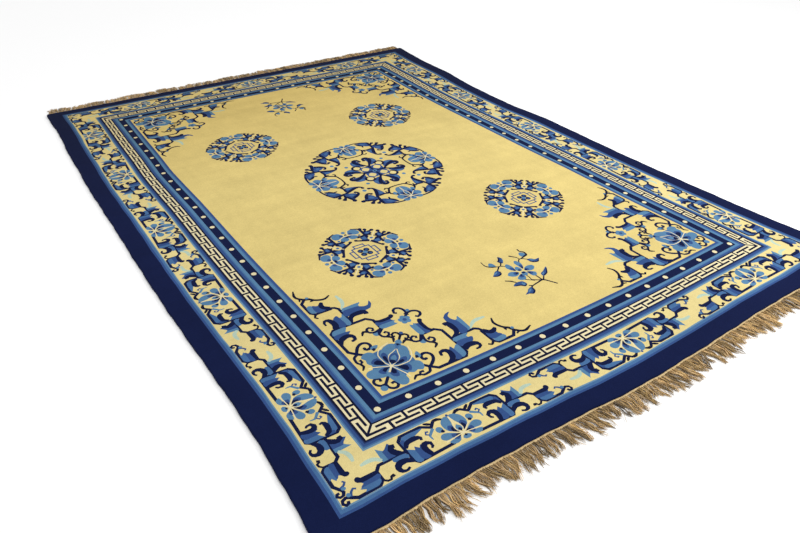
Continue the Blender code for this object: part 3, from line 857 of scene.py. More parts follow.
def small_medallion():
    """Smaller medallion round a little flower, in chart squares from its centre."""
    eighth = [
        # frame beside the lotus and the leaf inside it
        form("royal", (10.0, 25.6), (16.6, 26.4), (17.0, 18.2), (10.2, 19.0)),
        form("azure", (11.4, 25.4), (14.6, 25.6), (14.6, 20.2), (11.6, 20.4)),
        stem("navy", (1.4, 1.9, 3.0, 3.6, 3.4), (9.8, 45.2), (14.2, 43.0), (17.6, 39.2), (17.4, 28.0),
             (17.0, 17.6)),
        stem("navy", (3.0, 3.0, 2.6), (8.4, 27.8), (11.4, 26.6), (16.6, 27.6)),
        spot("navy", 8.8, 27.4, 2.3),
        stem("navy", (2.8, 2.4, 3.0, 3.6, 3.0), (2.8, 22.8), (5.4, 20.8), (9.0, 19.2), (13.0, 17.6),
             (15.6, 15.6)),
        spot("navy", 3.2, 22.6, 1.9),
        # leaf outside it with two hooks on the rim
        form("royal", (18.6, 33.0), (22.0, 33.4), (25.4, 31.2), (24.8, 28.6), (21.0, 26.8), (18.6, 27.4)),
        form("azure", (20.2, 31.6), (23.2, 31.4), (23.2, 29.0), (20.4, 28.8)),
        spot("navy", 18.6, 40.2, 2.1),
        stem("navy", (2.6, 2.4, 2.2), (18.2, 32.8), (20.8, 33.8), (22.4, 36.2)),
        spot("navy", 22.4, 37.0, 2.1),
        stem("navy", (2.0, 2.4, 2.4), (22.4, 32.4), (25.4, 32.4), (28.0, 32.0)),
        spot("navy", 28.2, 32.8, 2.2),
        stem("navy", (2.6, 2.6, 2.0), (18.2, 27.2), (21.6, 26.8), (25.0, 28.8)),
        stem("navy", (2.0, 1.4), (19.4, 27.6), (22.8, 24.2)),
    ]
    diagonal = [
        form("cream", (15.4, 19.4), (19.4, 15.4), (24.0, 20.0), (20.0, 24.0)),
        spot("azure", 19.6, 19.6, 1.7),
        stem("pearl", 1.0, (15.0, 15.0), (18.0, 18.0)),
        stem("pearl", 1.0, (21.4, 21.4), (29.4, 29.4)),
        spot("navy", 3.3, 3.3, 3.2),
        spot("royal", 3.8, 3.8, 1.6),
    ]
    quarter = mirrored(eighth, swapped) + diagonal
    shapes = mirrored(mirrored(quarter, flipped), upside_down)
    shapes += knot_lines() + [spot("light", 0.0, 0.0, 2.6)]
    return shapes + on_four_sides(small_lotus())


def knot_lines():
    """Thin lines round the little flower: four boxes, joined by a right angle between each two."""
    width = 1.4
    half, near, far = 5.6, 9.6, 14.2
    lines = []
    for sign in (-1, 1):
        box = [(-half * sign, near * sign), (-half * sign, far * sign), (half * sign, far * sign),
               (half * sign, near * sign), (-half * sign, near * sign)]
        lines.append(rail("royal", width, *box))
        lines.append(rail("royal", width, *[(y, x) for x, y in box]))
        for other in (-1, 1):
            lines.append(rail("royal", width, (near * sign, half * other), (near * sign, near * other),
                              (half * sign, near * other)))
    return lines


def on_four_sides(shapes):
    """A medallion's upper motif repeated on its four sides."""
    turned = []
    for c, s in ((1, 0), (0, 1), (-1, 0), (0, -1)):
        turned += redrawn(shapes, lambda x, y: (c * x - s * y, s * x + c * y))
    return turned


def four_lotuses(wide, long, distance):
    """Lotuses on the four sides of a medallion; they open toward its centre."""
    return on_four_sides(redrawn(lotus(), lambda x, y: (x * wide, distance - y * long)))


def twig(dye, widths, *points):
    """Stem of a spray, whose squares are finer than the other charts'."""
    return stem(dye, tuple(TWIG_WIDENING * width for width in widths), *points)


def spray():
    """Loose flower spray on the field, in chart squares from the middle of its flower."""
    petals = [
        form("light", (-5.0, 3.5), (-9.2, 8.5), (-10.2, 14.0), (-7.0, 18.6), (-4.0, 18.4), (-2.6, 14.0),
             (-3.0, 8.0)),
        form("light", (4.5, 2.5), (4.0, 9.0), (3.6, 15.0), (6.2, 19.0), (9.0, 18.4), (10.6, 13.0),
             (9.0, 7.6)),
        form("light", (-4.2, -0.4), (-7.6, -3.6), (-13.0, -4.2), (-17.6, -1.0), (-18.4, 2.0), (-13.4, 5.2),
             (-7.4, 3.4)),
        form("light", (4.4, 0.0), (8.0, 3.8), (13.4, 5.0), (18.4, 3.2), (18.6, -0.6), (13.6, -4.2),
             (7.6, -3.2)),
        form("light", (-3.8, -3.4), (-9.2, -5.2), (-13.8, -9.0), (-11.0, -13.2), (-6.0, -13.2),
             (-3.0, -9.0)),
        form("light", (4.2, -3.8), (8.6, -5.0), (12.4, -9.2), (9.6, -13.6), (5.4, -13.4), (3.8, -9.2)),
        form("light", (-2.2, 1.4), (-3.6, 5.2), (-1.6, 9.0), (1.4, 9.4), (3.2, 5.6), (1.8, 1.2)),
        form("light", (-1.8, -1.4), (2.2, -1.4), (3.4, -6.0), (0.0, -9.0), (-3.4, -6.6)),
        form("royal", (-4.6, 3.8), (-8.0, 8.0), (-6.8, 11.6), (-3.6, 9.6)),
        form("royal", (4.8, 2.8), (5.0, 9.6), (8.6, 10.4), (8.6, 6.8)),
        form("royal", (-4.4, -0.2), (-9.6, -2.6), (-11.4, 0.6), (-8.0, 2.8)),
        form("royal", (4.6, 0.0), (8.0, 2.8), (10.4, 0.0), (7.8, -2.6)),
        form("royal", (-4.0, -3.6), (-8.6, -5.4), (-8.6, -9.0), (-4.6, -9.0)),
        form("royal", (4.4, -4.0), (8.4, -5.4), (9.0, -9.0), (5.0, -9.6)),
        form("navy", (-4.6, 3.8), (-6.6, 5.4), (-5.4, 7.2), (-4.0, 6.0)),
        form("navy", (4.8, 2.8), (4.8, 6.4), (6.8, 6.8), (6.8, 4.4)),
        form("navy", (-4.6, -0.2), (-8.0, -1.6), (-8.6, 0.8), (-6.0, 1.4)),
        form("navy", (4.6, 0.0), (6.4, 1.6), (8.0, 0.0), (6.4, -1.4)),
        form("navy", (-4.2, -3.8), (-6.6, -4.8), (-6.4, -6.6), (-4.6, -6.0)),
        form("navy", (4.4, -4.0), (6.2, -4.8), (7.0, -7.4), (5.2, -7.2)),
        form("navy", (-1.4, 1.6), (-2.0, 3.8), (0.4, 4.2), (1.6, 1.6)),
        form("navy", (-1.6, -1.8), (1.6, -1.8), (2.0, -4.2), (-1.8, -4.0)),
    ]
    leaves = [
        form("light", (-18.0, 21.0), (-17.0, 26.6), (-19.6, 30.4), (-22.8, 28.6), (-24.6, 24.0)),
        form("royal", (-9.0, 24.0), (-9.8, 28.8), (-6.6, 30.2), (-3.4, 35.4), (-0.8, 31.0), (-3.0, 26.0),
             (-6.0, 23.0)),
        form("royal", (-21.6, 14.6), (-26.0, 14.4), (-30.6, 11.0), (-33.6, 8.0), (-28.4, 5.6), (-23.0, 8.0),
             (-20.8, 11.0)),
        form("light", (21.0, 21.6), (21.0, 26.6), (24.6, 29.4), (28.0, 26.0), (27.0, 21.6)),
        form("royal", (21.6, 14.4), (26.6, 13.4), (30.0, 9.6), (35.6, 9.4), (30.0, 4.4), (25.0, 6.2),
             (22.2, 9.0)),
        form("royal", (-20.4, -13.0), (-13.0, -14.6), (-11.8, -20.6), (-16.6, -23.2), (-20.2, -19.4),
             (-25.6, -18.0), (-27.0, -16.0)),
        form("royal", (-12.0, -27.6), (-17.0, -28.0), (-22.0, -31.6), (-27.4, -34.4), (-22.0, -35.2),
             (-18.6, -37.6), (-13.6, -34.6)),
        form("royal", (14.0, -19.4), (14.6, -14.4), (20.0, -12.2), (28.8, -7.4), (27.0, -11.8),
             (21.0, -17.6)),
    ]
    highlights = [
        form("light", (-5.4, 25.0), (-3.0, 27.6), (-1.4, 31.2), (-2.2, 26.6)),
        form("light", (-23.6, 13.2), (-28.0, 12.6), (-30.6, 9.8), (-26.0, 10.8)),
        form("light", (24.4, 12.6), (27.6, 11.0), (29.0, 8.6), (25.0, 9.6)),
        form("light", (-14.4, -16.0), (-13.2, -20.0), (-16.0, -21.0), (-16.8, -17.6)),
        form("light", (-14.6, -28.8), (-18.6, -30.0), (-21.6, -32.8), (-17.0, -32.0)),
        form("light", (15.2, -17.4), (16.0, -14.8), (20.0, -13.6), (18.0, -16.0)),
    ]
    low_stems = [
        twig("ink", (0.8, 0.9, 1.0, 1.4, 1.6, 1.9, 1.3), (-1.0, -8.6), (-1.0, -13.4), (-1.8, -17.6),
             (3.0, -21.6), (9.2, -25.0), (12.6, -30.4), (16.4, -37.4)),
        twig("ink", (0.9, 1.0, 1.2), (-8.4, -13.0), (-5.0, -16.6), (0.0, -20.2)),
        twig("ink", (1.0, 1.2, 1.2), (7.4, -13.4), (7.8, -18.0), (7.6, -23.4)),
        twig("ink", (1.4, 1.0, 0.8), (8.8, -24.2), (12.8, -20.8), (16.6, -17.0)),
        twig("ink", (1.3, 1.0, 1.1, 1.2), (7.2, -23.6), (0.0, -24.2), (-6.2, -25.4), (-10.4, -26.6),
             (-13.0, -29.0)),
        twig("ink", (1.3, 0.7), (-9.8, -26.2), (-12.6, -23.6)),
    ]
    stems = [
        twig("ink", (0.8, 0.8, 0.8, 0.9, 1.0), (-6.4, 13.0), (-9.4, 17.0), (-13.6, 19.8), (-17.0, 18.4),
             (-22.4, 14.0)),
        twig("ink", (0.8, 0.8, 1.0), (-12.6, 19.6), (-10.0, 22.4), (-7.0, 25.4)),
        twig("ink", (0.8, 1.4, 1.2, 0.9), (-14.6, 19.6), (-19.6, 21.4), (-24.4, 24.2), (-27.4, 29.4),
             (-26.4, 37.0)),
        twig("ink", (1.0, 1.0, 0.9, 1.2, 1.6), (9.4, 13.6), (12.2, 17.4), (14.8, 19.4), (14.2, 24.0),
             (9.0, 30.2)),
        twig("ink", (0.9, 0.9, 0.8), (14.8, 19.2), (18.6, 18.2), (23.4, 13.0)),
        twig("ink", (1.0, 1.8, 1.6, 1.2), (17.4, 18.8), (22.4, 20.4), (28.2, 21.6), (29.6, 27.0),
             (26.6, 31.0), (27.2, 35.8)),
        twig("ink", (1.2, 1.6, 1.0), (-28.4, -4.4), (-23.0, -8.4), (-19.6, -13.6)),
        twig("navy", (0.7, 1.4, 1.2), (-22.0, -35.0), (-18.0, -36.4), (-13.6, -33.4), (-12.4, -29.0)),
        twig("navy", (0.6, 1.2, 1.0), (-33.0, 8.0), (-28.0, 6.2), (-22.6, 8.0), (-21.0, 12.0)),
        twig("navy", (0.6, 1.2, 1.0), (34.0, 8.6), (30.0, 5.0), (24.6, 6.6), (22.2, 10.0)),
        twig("navy", (0.6, 1.0, 0.8), (27.6, -9.4), (21.4, -16.6), (15.0, -18.6)),
        twig("navy", (0.7, 1.2, 0.8), (-2.6, 34.6), (-6.4, 29.4), (-8.8, 27.6), (-8.6, 24.6)),
        twig("navy", (0.7, 1.2, 1.0), (-25.4, -17.4), (-19.6, -19.0), (-16.2, -22.2), (-12.6, -20.4)),
    ]
    return low_stems + leaves + stems + highlights + petals


def fret_rows(inner, outer):
    """Levels across the fret, from its inner line to its outer one."""
    return [inner + share * (outer - inner) for share in FRET_LEVELS]


def design():
    """Every shape of the design, outlined on the straight rug in metres."""
    shapes = [Shape(band.dye, band_loop(band.side, band.end)) for band in BANDS]
    shapes += fret() + pearls() + borders()
    field_w = RING_HALF_WIDTH + BANDS[-1].side
    field_l = RING_HALF_LENGTH + BANDS[-1].end
    for side, end, stretch in CORNERS:
        shapes += place(corner_motif(), CORNER_SQUARE, CORNER_SQUARE * stretch,
                        lambda x, y: (side * (field_w - x), end * (field_l - y)))
        shapes += place(small_medallion(), SMALL_SQUARE, SMALL_SQUARE,
                        lambda x, y: (side * SMALL_MEDALLION_AT[0] + x, end * SMALL_MEDALLION_AT[1] + y))
    shapes += place(central_medallion(), MEDALLION_SQUARE, MEDALLION_SQUARE,
                    lambda x, y: (x + MEDALLION_AT[0], y + MEDALLION_AT[1]))
    for end in (-1, 1):
        shapes += place(spray(), SPRAY_SQUARE, SPRAY_SQUARE, lambda x, y: (x, end * (SPRAY_ALONG - y)))
    return shapes


def borders():
    """Floral units along the four sides; every second one is turned over."""
    outer = next(band for band in BANDS if band.dye == "cream")
    inner = BANDS[BANDS.index(outer) + 1]
    deep_end = (outer.end - inner.end) / UNIT_DEPTH
    deep_side = (outer.side - inner.side) / UNIT_DEPTH
    upright = border_unit()
    units = (upright, redrawn(upright, lambda x, y: (x, UNIT_DEPTH - y)))
    shapes = []
    for sign in (-1, 1):
        for number, middle in enumerate(LOTUSES_ACROSS):
            shapes += place(units[number % 2], SHORT_SIDE_SQUARE, deep_end,
                            lambda x, y: (middle + x, sign * (RING_HALF_LENGTH + outer.end - y)))
        for number, middle in enumerate(LOTUSES_ALONG):
            shapes += place(units[number % 2], LONG_SIDE_SQUARE, deep_side,
                            lambda x, y: (sign * (RING_HALF_WIDTH + outer.side - y), middle + x))
    return shapes


def place(shapes, square_x, square_y, turn):
    """Shapes from a chart put in their place; the squares are a chart square's size."""
    return redrawn(shapes, lambda x, y: turn(x * square_x, y * square_y))


def band_loop(side, end):
    """Closed rectangle about the middle, with points along its sides."""
    w = RING_HALF_WIDTH + side
    h = RING_HALF_LENGTH + end
    corners = ((-w, -h), (w, -h), (w, h), (-w, h))
    loop = []
    for (x0, y0), (x1, y1) in zip(corners, corners[1:] + corners[:1]):
        steps = round(math.hypot(x1 - x0, y1 - y0) / BAND_STEP)
        loop += [(x0 + (x1 - x0) * k / steps, y0 + (y1 - y0) * k / steps) for k in range(steps)]
    return loop


def pearls():
    """Round pearls at equal steps along the pearl line."""
    places = set()
    for end in (-1, 1):
        for k in range(PEARLS_ACROSS + 1):
            places.add((RING_HALF_WIDTH * (2 * k / PEARLS_ACROSS - 1), end * RING_HALF_LENGTH))
    for side in (-1, 1):
        for k in range(1, PEARLS_ALONG):
            places.add((side * RING_HALF_WIDTH, RING_HALF_LENGTH * (2 * k / PEARLS_ALONG - 1)))
    return [spot("pearl", x, y, PEARL_RADIUS) for x, y in sorted(places)]


def fret():
    """Interlocking T figures along all four sides, joined by an L at each corner."""
    shapes = []
    for sign in (-1, 1):
        shapes += fret_side(RING_HALF_WIDTH, PEARLS_ACROSS, FRET_INNER[1], FRET_OUTER[1],
                            lambda a, b: (a, sign * (RING_HALF_LENGTH + b)))
        shapes += fret_side(RING_HALF_LENGTH, PEARLS_ALONG, FRET_INNER[0], FRET_OUTER[0],
                            lambda a, b: (sign * (RING_HALF_WIDTH + b), a))
    for side, end, _ in CORNERS:
        shapes += redrawn(fret_corner(), lambda x, y: (side * x, end * y))
    return shapes


def fret_side(half_run, intervals, inner, outer, turn):
    """T figures of one side: bars on two levels, each held by a stem from the far line."""
    pitch = 2 * half_run / intervals
    bar = FRET_BAR * pitch
    rows = fret_rows(inner, outer)
    shapes = []

    def block(middle, half, low, high):
        a0 = middle - half
        a1 = middle + half
        steps = 2 if a1 - a0 > LONG_BAR else 1
        one_way = [turn(a0 + (a1 - a0) * k / steps, low) for k in range(steps + 1)]
        back = [turn(a1 + (a0 - a1) * k / steps, high) for k in range(steps + 1)]
        shapes.append(Shape("ink", one_way + back))

    for k in range(intervals + 1):
        middle = -half_run + k * pitch
        block(middle, bar, rows[1], rows[2])
        block(middle, FRET_STEM, rows[2] - FRET_OVERLAP, rows[5] + FRET_OVERLAP)
        if k < intervals:
            block(middle + pitch / 2, bar, rows[3], rows[4])
            block(middle + pitch / 2, FRET_STEM, rows[0] - FRET_OVERLAP, rows[3] + FRET_OVERLAP)
    return shapes


def fret_corner():
    """The L that turns a corner, and its slanting stem."""
    rows_x = [RING_HALF_WIDTH + b for b in fret_rows(FRET_INNER[0], FRET_OUTER[0])]
    rows_y = [RING_HALF_LENGTH + b for b in fret_rows(FRET_INNER[1], FRET_OUTER[1])]
    ell = facet(
        "ink",
        (rows_x[4], rows_y[4]), (rows_x[4] - ELL_LENGTH, rows_y[4]), (rows_x[4] - ELL_LENGTH, rows_y[3]),
        (rows_x[3], rows_y[3]), (rows_x[3], rows_y[4] - ELL_LENGTH), (rows_x[4], rows_y[4] - ELL_LENGTH),
    )
    slant = rail("ink", SLANT_WIDTH, (rows_x[0] - SLANT_OVERLAP, rows_y[0] - SLANT_OVERLAP),
                 (rows_x[3] + SLANT_OVERLAP, rows_y[3] + SLANT_OVERLAP))
    return [ell, slant]


# The cloth


def inset(outline, distance):
    """A closed outline moved inward, point by point."""
    moved = []
    count = len(outline)
    for k, (x, y) in enumerate(outline):
        before = outline[k - 1]
        after = outline[(k + 1) % count]
        length = math.dist(before, after)
        inward = (-(after[1] - before[1]) / length, (after[0] - before[0]) / length)
        moved.append((x + distance * inward[0], y + distance * inward[1]))
    return moved


def covered(xs, ys, outline):
    """Which of the places lie inside an outline, by its winding number."""
    winding = numpy.zeros(len(xs), dtype=int)
    for (x0, y0), (x1, y1) in zip(outline, outline[1:] + outline[:1]):
        side = (x1 - x0) * (ys - y0) - (xs - x0) * (y1 - y0)
        winding += (y0 <= ys) & (y1 > ys) & (side > 0)
        winding -= (y1 <= ys) & (y0 > ys) & (side < 0)
    return winding != 0


def triangulate(loops):
    """Triangles whose edges follow every loop; the first loop is the cloth's own edge."""
    points = []
    edges = []
    for loop in loops:
        start = len(points)
        points += [Vector(p) for p in loop]
        edges += [(start + k, start + (k + 1) % len(loop)) for k in range(len(loop))]
    found = geometry.delaunay_2d_cdt(points, edges, [], 1, MERGE_DISTANCE, False)
    corners = numpy.array([tuple(p) for p in found[0]])
    triangles = numpy.array([tuple(face) for face in found[2]])
    middles = corners[triangles].mean(axis=1)
    return corners, triangles[covered(middles[:, 0], middles[:, 1], loops[0])]


def dye_numbers(corners, triangles, shapes):
    """For each triangle, the number of the last shape that covers its middle, or -1."""
    middles = corners[triangles].mean(axis=1)
    order = numpy.argsort(middles[:, 0])
    xs = middles[order, 0]
    ys = middles[order, 1]
    found = numpy.full(len(xs), -1)
    for number, shape in enumerate(shapes):
        px = [p[0] for p in shape.outline]
        py = [p[1] for p in shape.outline]
        first, last = numpy.searchsorted(xs, (min(px), max(px)))
        near = first + numpy.flatnonzero((ys[first:last] > min(py)) & (ys[first:last] < max(py)))
        if len(near):
            found[near[covered(xs[near], ys[near], shape.outline)]] = number
    result = numpy.empty(len(found), dtype=int)
    result[order] = found
    return result


def thinned(outline, tolerance):
    """An outline without the points that lie on the line between their neighbours."""
    kept = [outline[0]]
    for here, after in zip(outline[1:], outline[2:] + outline[:1]):
        start = kept[-1]
        run = (after[0] - start[0], after[1] - start[1])
        area = abs(run[0] * (here[1] - start[1]) - run[1] * (here[0] - start[0]))
        off = area / (math.hypot(*run) or 1.0)
        if off > tolerance or math.dist(start, here) > LONGEST_RUN:
            kept.append(here)
    return kept


def dyed_face(edge, shapes, tolerance):
    """Corners, triangles and their dyes of the design, cut along every shape's outline."""
    drawn = [Shape(s.dye, thinned(s.outline, tolerance)) for s in shapes]
    corners, triangles = triangulate([edge] + [s.outline for s in drawn])
    numbers = dye_numbers(corners, triangles, drawn)
    sides = corners[triangles]
    first = sides[:, 1] - sides[:, 0]
    second = sides[:, 2] - sides[:, 0]
    turned = first[:, 0] * second[:, 1] - first[:, 1] * second[:, 0] < 0
    triangles[turned] = triangles[turned][:, ::-1]
    dyes = numpy.array([DYES["navy"]] + [DYES[s.dye] for s in drawn])[numbers + 1]
    return corners.tolist(), triangles.tolist(), dyes.tolist()


def make_cloth():
    """One closed sheet: dyed pile on top, rounded rim, side wall and the knots' backs below."""
    outline = [(x + SHIFT[0], y + SHIFT[1]) for x, y in OUTLINE]
    rim = rim_rows(outline)
    edge = rim[0][0]
    shapes = redrawn(design(), woven)
    pile, pile_triangles, colours = dyed_face(edge, shapes, PILE_TOLERANCE)
    back, back_triangles, back_colours = dyed_face(edge, shapes, BACK_TOLERANCE)
    vertices = [(x, y, THICKNESS) for x, y in pile]
    below = len(vertices)
    vertices += [(x, y, 0.0) for x, y in back]
    faces = list(pile_triangles)
    maps = [[on_sheet(*pile[k], 0) for k in triangle] for triangle in pile_triangles]
    ends = (outline_vertices(pile, edge), [below + k for k in outline_vertices(back, edge)])
    foot = (rim[-1][0], 0.0)
    add_wall(outline, rim[1:] + [foot], ends, (vertices, faces, maps))
    colours += [DYES["navy"]] * (len(faces) - len(colours)) + back_colours
    faces += [[below + c, below + b, below + a] for a, b, c in back_triangles]
    maps += [[on_sheet(*back[k], 1) for k in triangle[::-1]] for triangle in back_triangles]
    mesh = bpy.data.meshes.new("rug_cloth")
    mesh.from_pydata(vertices, [], faces)
    paint(mesh, colours)
    sheet_map = mesh.uv_layers.new(name="OFBake")
    places = numpy.array([place for face in maps for place in face], dtype=numpy.float32)
    sheet_map.data.foreach_set("uv", places.ravel())
    return mesh


def rim_rows(outline):
    """Loops of the rounded rim with their heights, from the pile's edge down to the wall."""
    rows = []
    for k in range(RIM_STEPS + 1):
        angle = math.pi / 2 * k / RIM_STEPS
        distance = PILE_ROUNDING * (1 - math.sin(angle))
        height = THICKNESS - PILE_ROUNDING * (1 - math.cos(angle))
        rows.append((inset(outline, distance + RIM_INSET), height))
    return rows


def add_wall(outline, rows, ends, parts):
    """Faces over the rim and down the side wall, between the pile's edge and the back's edge."""
    vertices, faces, maps = parts
    chance = random.Random(5)
    wobble = [chance.uniform(-1, 1) * RIM_WOBBLE for _ in outline]
    rings = [ends[0]]
    for loop, height in rows:
        start = len(vertices)
        for (x, y), push in zip(loop, wobble):
            if height == 0:
                push = 0.0
            vertices.append((x + push, y + push, height))
        rings.append([start + k for k in range(len(loop))])
    rings.append(ends[1])
    travel = [0.0]
    for here, after in zip(outline, outline[1:] + outline[:1]):
        travel.append(travel[-1] + math.dist(here, after))
    for upper, lower, high, low in zip(rings, rings[1:], WALL_LEVELS, WALL_LEVELS[1:]):
        for k in range(len(outline)):
            after = (k + 1) % len(outline)
            faces.append([lower[k], lower[after], upper[after], upper[k]])
            maps.append([on_wall(travel[k], travel[k], low), on_wall(travel[k], travel[k + 1], low),
                         on_wall(travel[k], travel[k + 1], high), on_wall(travel[k], travel[k], high)])


def on_sheet(x, y, face):
    """Place on the bake map of a point of the pile (0) or the back (1)."""
    return FACE_MIDDLES[face][0] + x * MAP_SCALE, FACE_MIDDLES[face][1] + y * MAP_SCALE


def on_wall(start, along, level):
    """Place on the bake map of a point of the rim or wall, in the row where its face starts."""
    row = int(start * MAP_SCALE / WALL_ROW_LENGTH)
    return (WALL_ROWS_AT[0] + along * MAP_SCALE - row * WALL_ROW_LENGTH,
            WALL_ROWS_AT[1] + WALL_ROW_HEIGHT * row + level * MAP_SCALE)


def outline_vertices(corners, loop):
    """Numbers of the vertices that a loop's points became."""
    ring = []
    places = numpy.array(corners)
    for x, y in loop:
        distance = (places[:, 0] - x) ** 2 + (places[:, 1] - y) ** 2
        ring.append(int(distance.argmin()))
    return ring


def paint(mesh, colours):
    """Writes one colour per face to the mesh's face corners."""
    layer = mesh.color_attributes.new("dye", "FLOAT_COLOR", "CORNER")
    values = numpy.ones((len(mesh.loops), 4), dtype=numpy.float32)
    sizes = numpy.empty(len(mesh.polygons), dtype=int)
    mesh.polygons.foreach_get("loop_total", sizes)
    values[:, :3] = numpy.repeat(numpy.array(colours, dtype=numpy.float32), sizes, axis=0)
    layer.data.foreach_set("color", values.ravel())


def add_piece(name, mesh, material):
    """New object of a mesh and a material, linked to the scene."""
    piece = bpy.data.objects.new(name, mesh)
    mesh.materials.append(material)
    bpy.context.scene.collection.objects.link(piece)
    return piece


# Materials


def set_values(node, **values):
    """Sets a node's properties and unlinked sockets by their names, with _ for a space."""
    for key, value in values.items():
        if hasattr(node, key):
            setattr(node, key, value)
        else:
            node.inputs[key.replace("_", " ")].default_value = value


def nodes_of(name):
    """New node material: its shader, a function that adds a node and one that links two sockets."""
    material = bpy.data.materials.new(name)
    material.use_nodes = True
    tree = material.node_tree

    def add(kind, **values):
        node = tree.nodes.new(kind)
        set_values(node, **values)
        return node

    return material, tree.nodes["Principled BSDF"], add, tree.links.new


def scaled(colour, factor, add, link):
    """A colour made lighter or darker by a factor."""
    node = add("ShaderNodeVectorMath", operation="SCALE")
    link(colour, node.inputs[0])
    link(factor, node.inputs["Scale"])
    return node.outputs["Vector"]


def pile_material():
    """Sheared wool: the painted dyes, uneven in places, painted shade toward the far end, a little sheen and
    the knots' bump.
    """
    material, shader, add, link = nodes_of("rug_pile")
    place_of = add("ShaderNodeTexCoord").outputs["Object"]

    def noise_field(where, scale, detail):
        node = add("ShaderNodeTexNoise", Scale=scale, Detail=detail)
        link(where, node.inputs["Vector"])
        return node.outputs["Fac"]

    colour = add("ShaderNodeVertexColor", layer_name="dye").outputs["Color"]
    for row in WOOL:
        mapping = add("ShaderNodeMapping", Scale=row.stretch)
        link(place_of, mapping.inputs["Vector"])
        spread = add("ShaderNodeMapRange", From_Min=NOISE_RANGE[0], From_Max=NOISE_RANGE[1],
                     To_Min=row.low, To_Max=row.high)
        link(noise_field(mapping.outputs["Vector"], row.scale, row.detail), spread.inputs["Value"])
        colour = scaled(colour, spread.outputs["Result"], add, link)

    # painted shade: the colour is made darker toward the far end of the rug
    parts = add("ShaderNodeSeparateXYZ")
    link(place_of, parts.inputs["Vector"])
    fade = add("ShaderNodeMapRange", From_Min=FAR_SHADE_FADE[0], From_Max=FAR_SHADE_FADE[1])
    link(parts.outputs["Y"], fade.inputs["Value"])
    far_shade = add("ShaderNodeMix", data_type="RGBA", blend_type="MULTIPLY")
    sockets = {socket.identifier: socket for socket in [*far_shade.inputs, *far_shade.outputs]}
    link(fade.outputs["Result"], sockets["Factor_Float"])
    link(colour, sockets["A_Color"])
    sockets["B_Color"].default_value = FAR_END_SHADE_TINT
    link(sockets["Result_Color"], shader.inputs["Base Color"])

    set_values(shader, Roughness=0.92, Specular_IOR_Level=0.03, Sheen_Weight=0.01, Sheen_Roughness=0.5)
    bump = add("ShaderNodeBump", Strength=0.35, Distance=0.002)
    link(noise_field(place_of, 380.0, 2.0), bump.inputs["Height"])
    link(bump.outputs["Normal"], shader.inputs["Normal"])
    return material


def yarn_material():
    """Dull warp yarn: its painted colour, with painted shade on the lower yarns, and fine fibres."""
    material, shader, add, link = nodes_of("fringe_yarn")
    place_of = add("ShaderNodeTexCoord").outputs["Object"]
    fibres = add("ShaderNodeTexNoise", Scale=600.0, Detail=2.0)
    link(place_of, fibres.inputs["Vector"])
    spread = add("ShaderNodeMapRange", To_Min=0.7, To_Max=1.25)
    link(fibres.outputs["Fac"], spread.inputs["Value"])
    dye = add("ShaderNodeVertexColor", layer_name="dye").outputs["Color"]
    link(scaled(dye, spread.outputs["Result"], add, link), shader.inputs["Base Color"])
    set_values(shader, Roughness=0.9, Specular_IOR_Level=0.2, Sheen_Weight=0.1)
    return material


# Fringe


def lock_route(fringe, across, chance):
    """The part's route of one lock, as points on the floor."""
    clump = CLUMP_PULL * math.sin(2 * math.pi * across / CLUMP_LENGTH + fringe.phase)
    drift = DRIFT_PULL * math.sin(2 * math.pi * across / DRIFT_LENGTH + 2 * fringe.phase)
    sideways = fringe.lean + clump + drift + chance.uniform(-TIP_JITTER, TIP_JITTER)
    wave = REACH_WAVE * math.sin(2 * math.pi * across / REACH_WAVE_LENGTH + fringe.phase)
    reach = fringe.reach + wave + chance.uniform(-REACH_JITTER, REACH_JITTER)
    chance.random()    # the part draws the lock's thickness here
    root = end_edge(fringe.outward, across) + WEB_WIDTH - LOCK_ROOT_DEPTH
    path = []
    for k in range(YARN_STEPS + 1):
        share = k / YARN_STEPS
        travel = table_value(LOCK_PATH, "share", "travel", share) * sideways
        along = root + share * (reach - WEB_WIDTH + LOCK_ROOT_DEPTH)
        path.append(on_floor(across + travel, fringe.outward * along))
    return path


def tuft_wave(wave, fringe, tuft):
    """Noise that the yarns of one tuft share."""
    return wave.strength * noise.noise(Vector((tuft / wave.length, fringe.seed, wave.layer)))


def make_fringe(fringe):
    """Fine twisted yarns laid in the part's locks, and the narrow web they grow from."""
    lock_chance = random.Random(fringe.seed)
    chance = random.Random(fringe.seed + 1000)
    left = corner(-1, fringe.outward)[0] + END_LOCK_INSET
    right = corner(1, fringe.outward)[0] - END_LOCK_INSET
    pitch = (right - left) / LOCKS
    vertices = []
    faces = []
    colours = []
    for k in range(LOCKS):
        across = left + pitch * (k + 0.5)
        route = lock_route(fringe, across, lock_chance)
        calm = min(1.0, min(across - left, right - across) / CALM_END)
        for _ in range(YARNS_IN_LOCK):
            place = chance.uniform(-0.5, 0.5) * pitch
            root = across + place
            tuft = round(root / TUFT_WIDTH) * TUFT_WIDTH
            pull = TUFT_GATHER * (tuft - root)
            pull += calm * sum(tuft_wave(wave, fringe, tuft) for wave in PULL_WAVES)
            length = fringe.yarn_length + tuft_wave(LENGTH_WAVE, fringe, tuft)
            length = max(length, SHORTEST_YARN + LONGER * (chance.random() < LONG_YARNS))
            curl = tuft_wave(CURL_WAVE, fringe, tuft)
            bright = 1.0 + tuft_wave(SHADE_WAVE, fringe, tuft)
            yarn = (YARN_SPACING * place, -fringe.outward * pull, length, curl, bright)
            add_yarn(route, yarn, chance, (vertices, faces, colours))
    add_web(fringe, chance, (vertices, faces, colours))
    mesh = bpy.data.meshes.new(fringe.name + "_yarns")
    mesh.from_pydata(vertices, [], faces)
    paint(mesh, colours)
    mesh.shade_smooth()
    return mesh


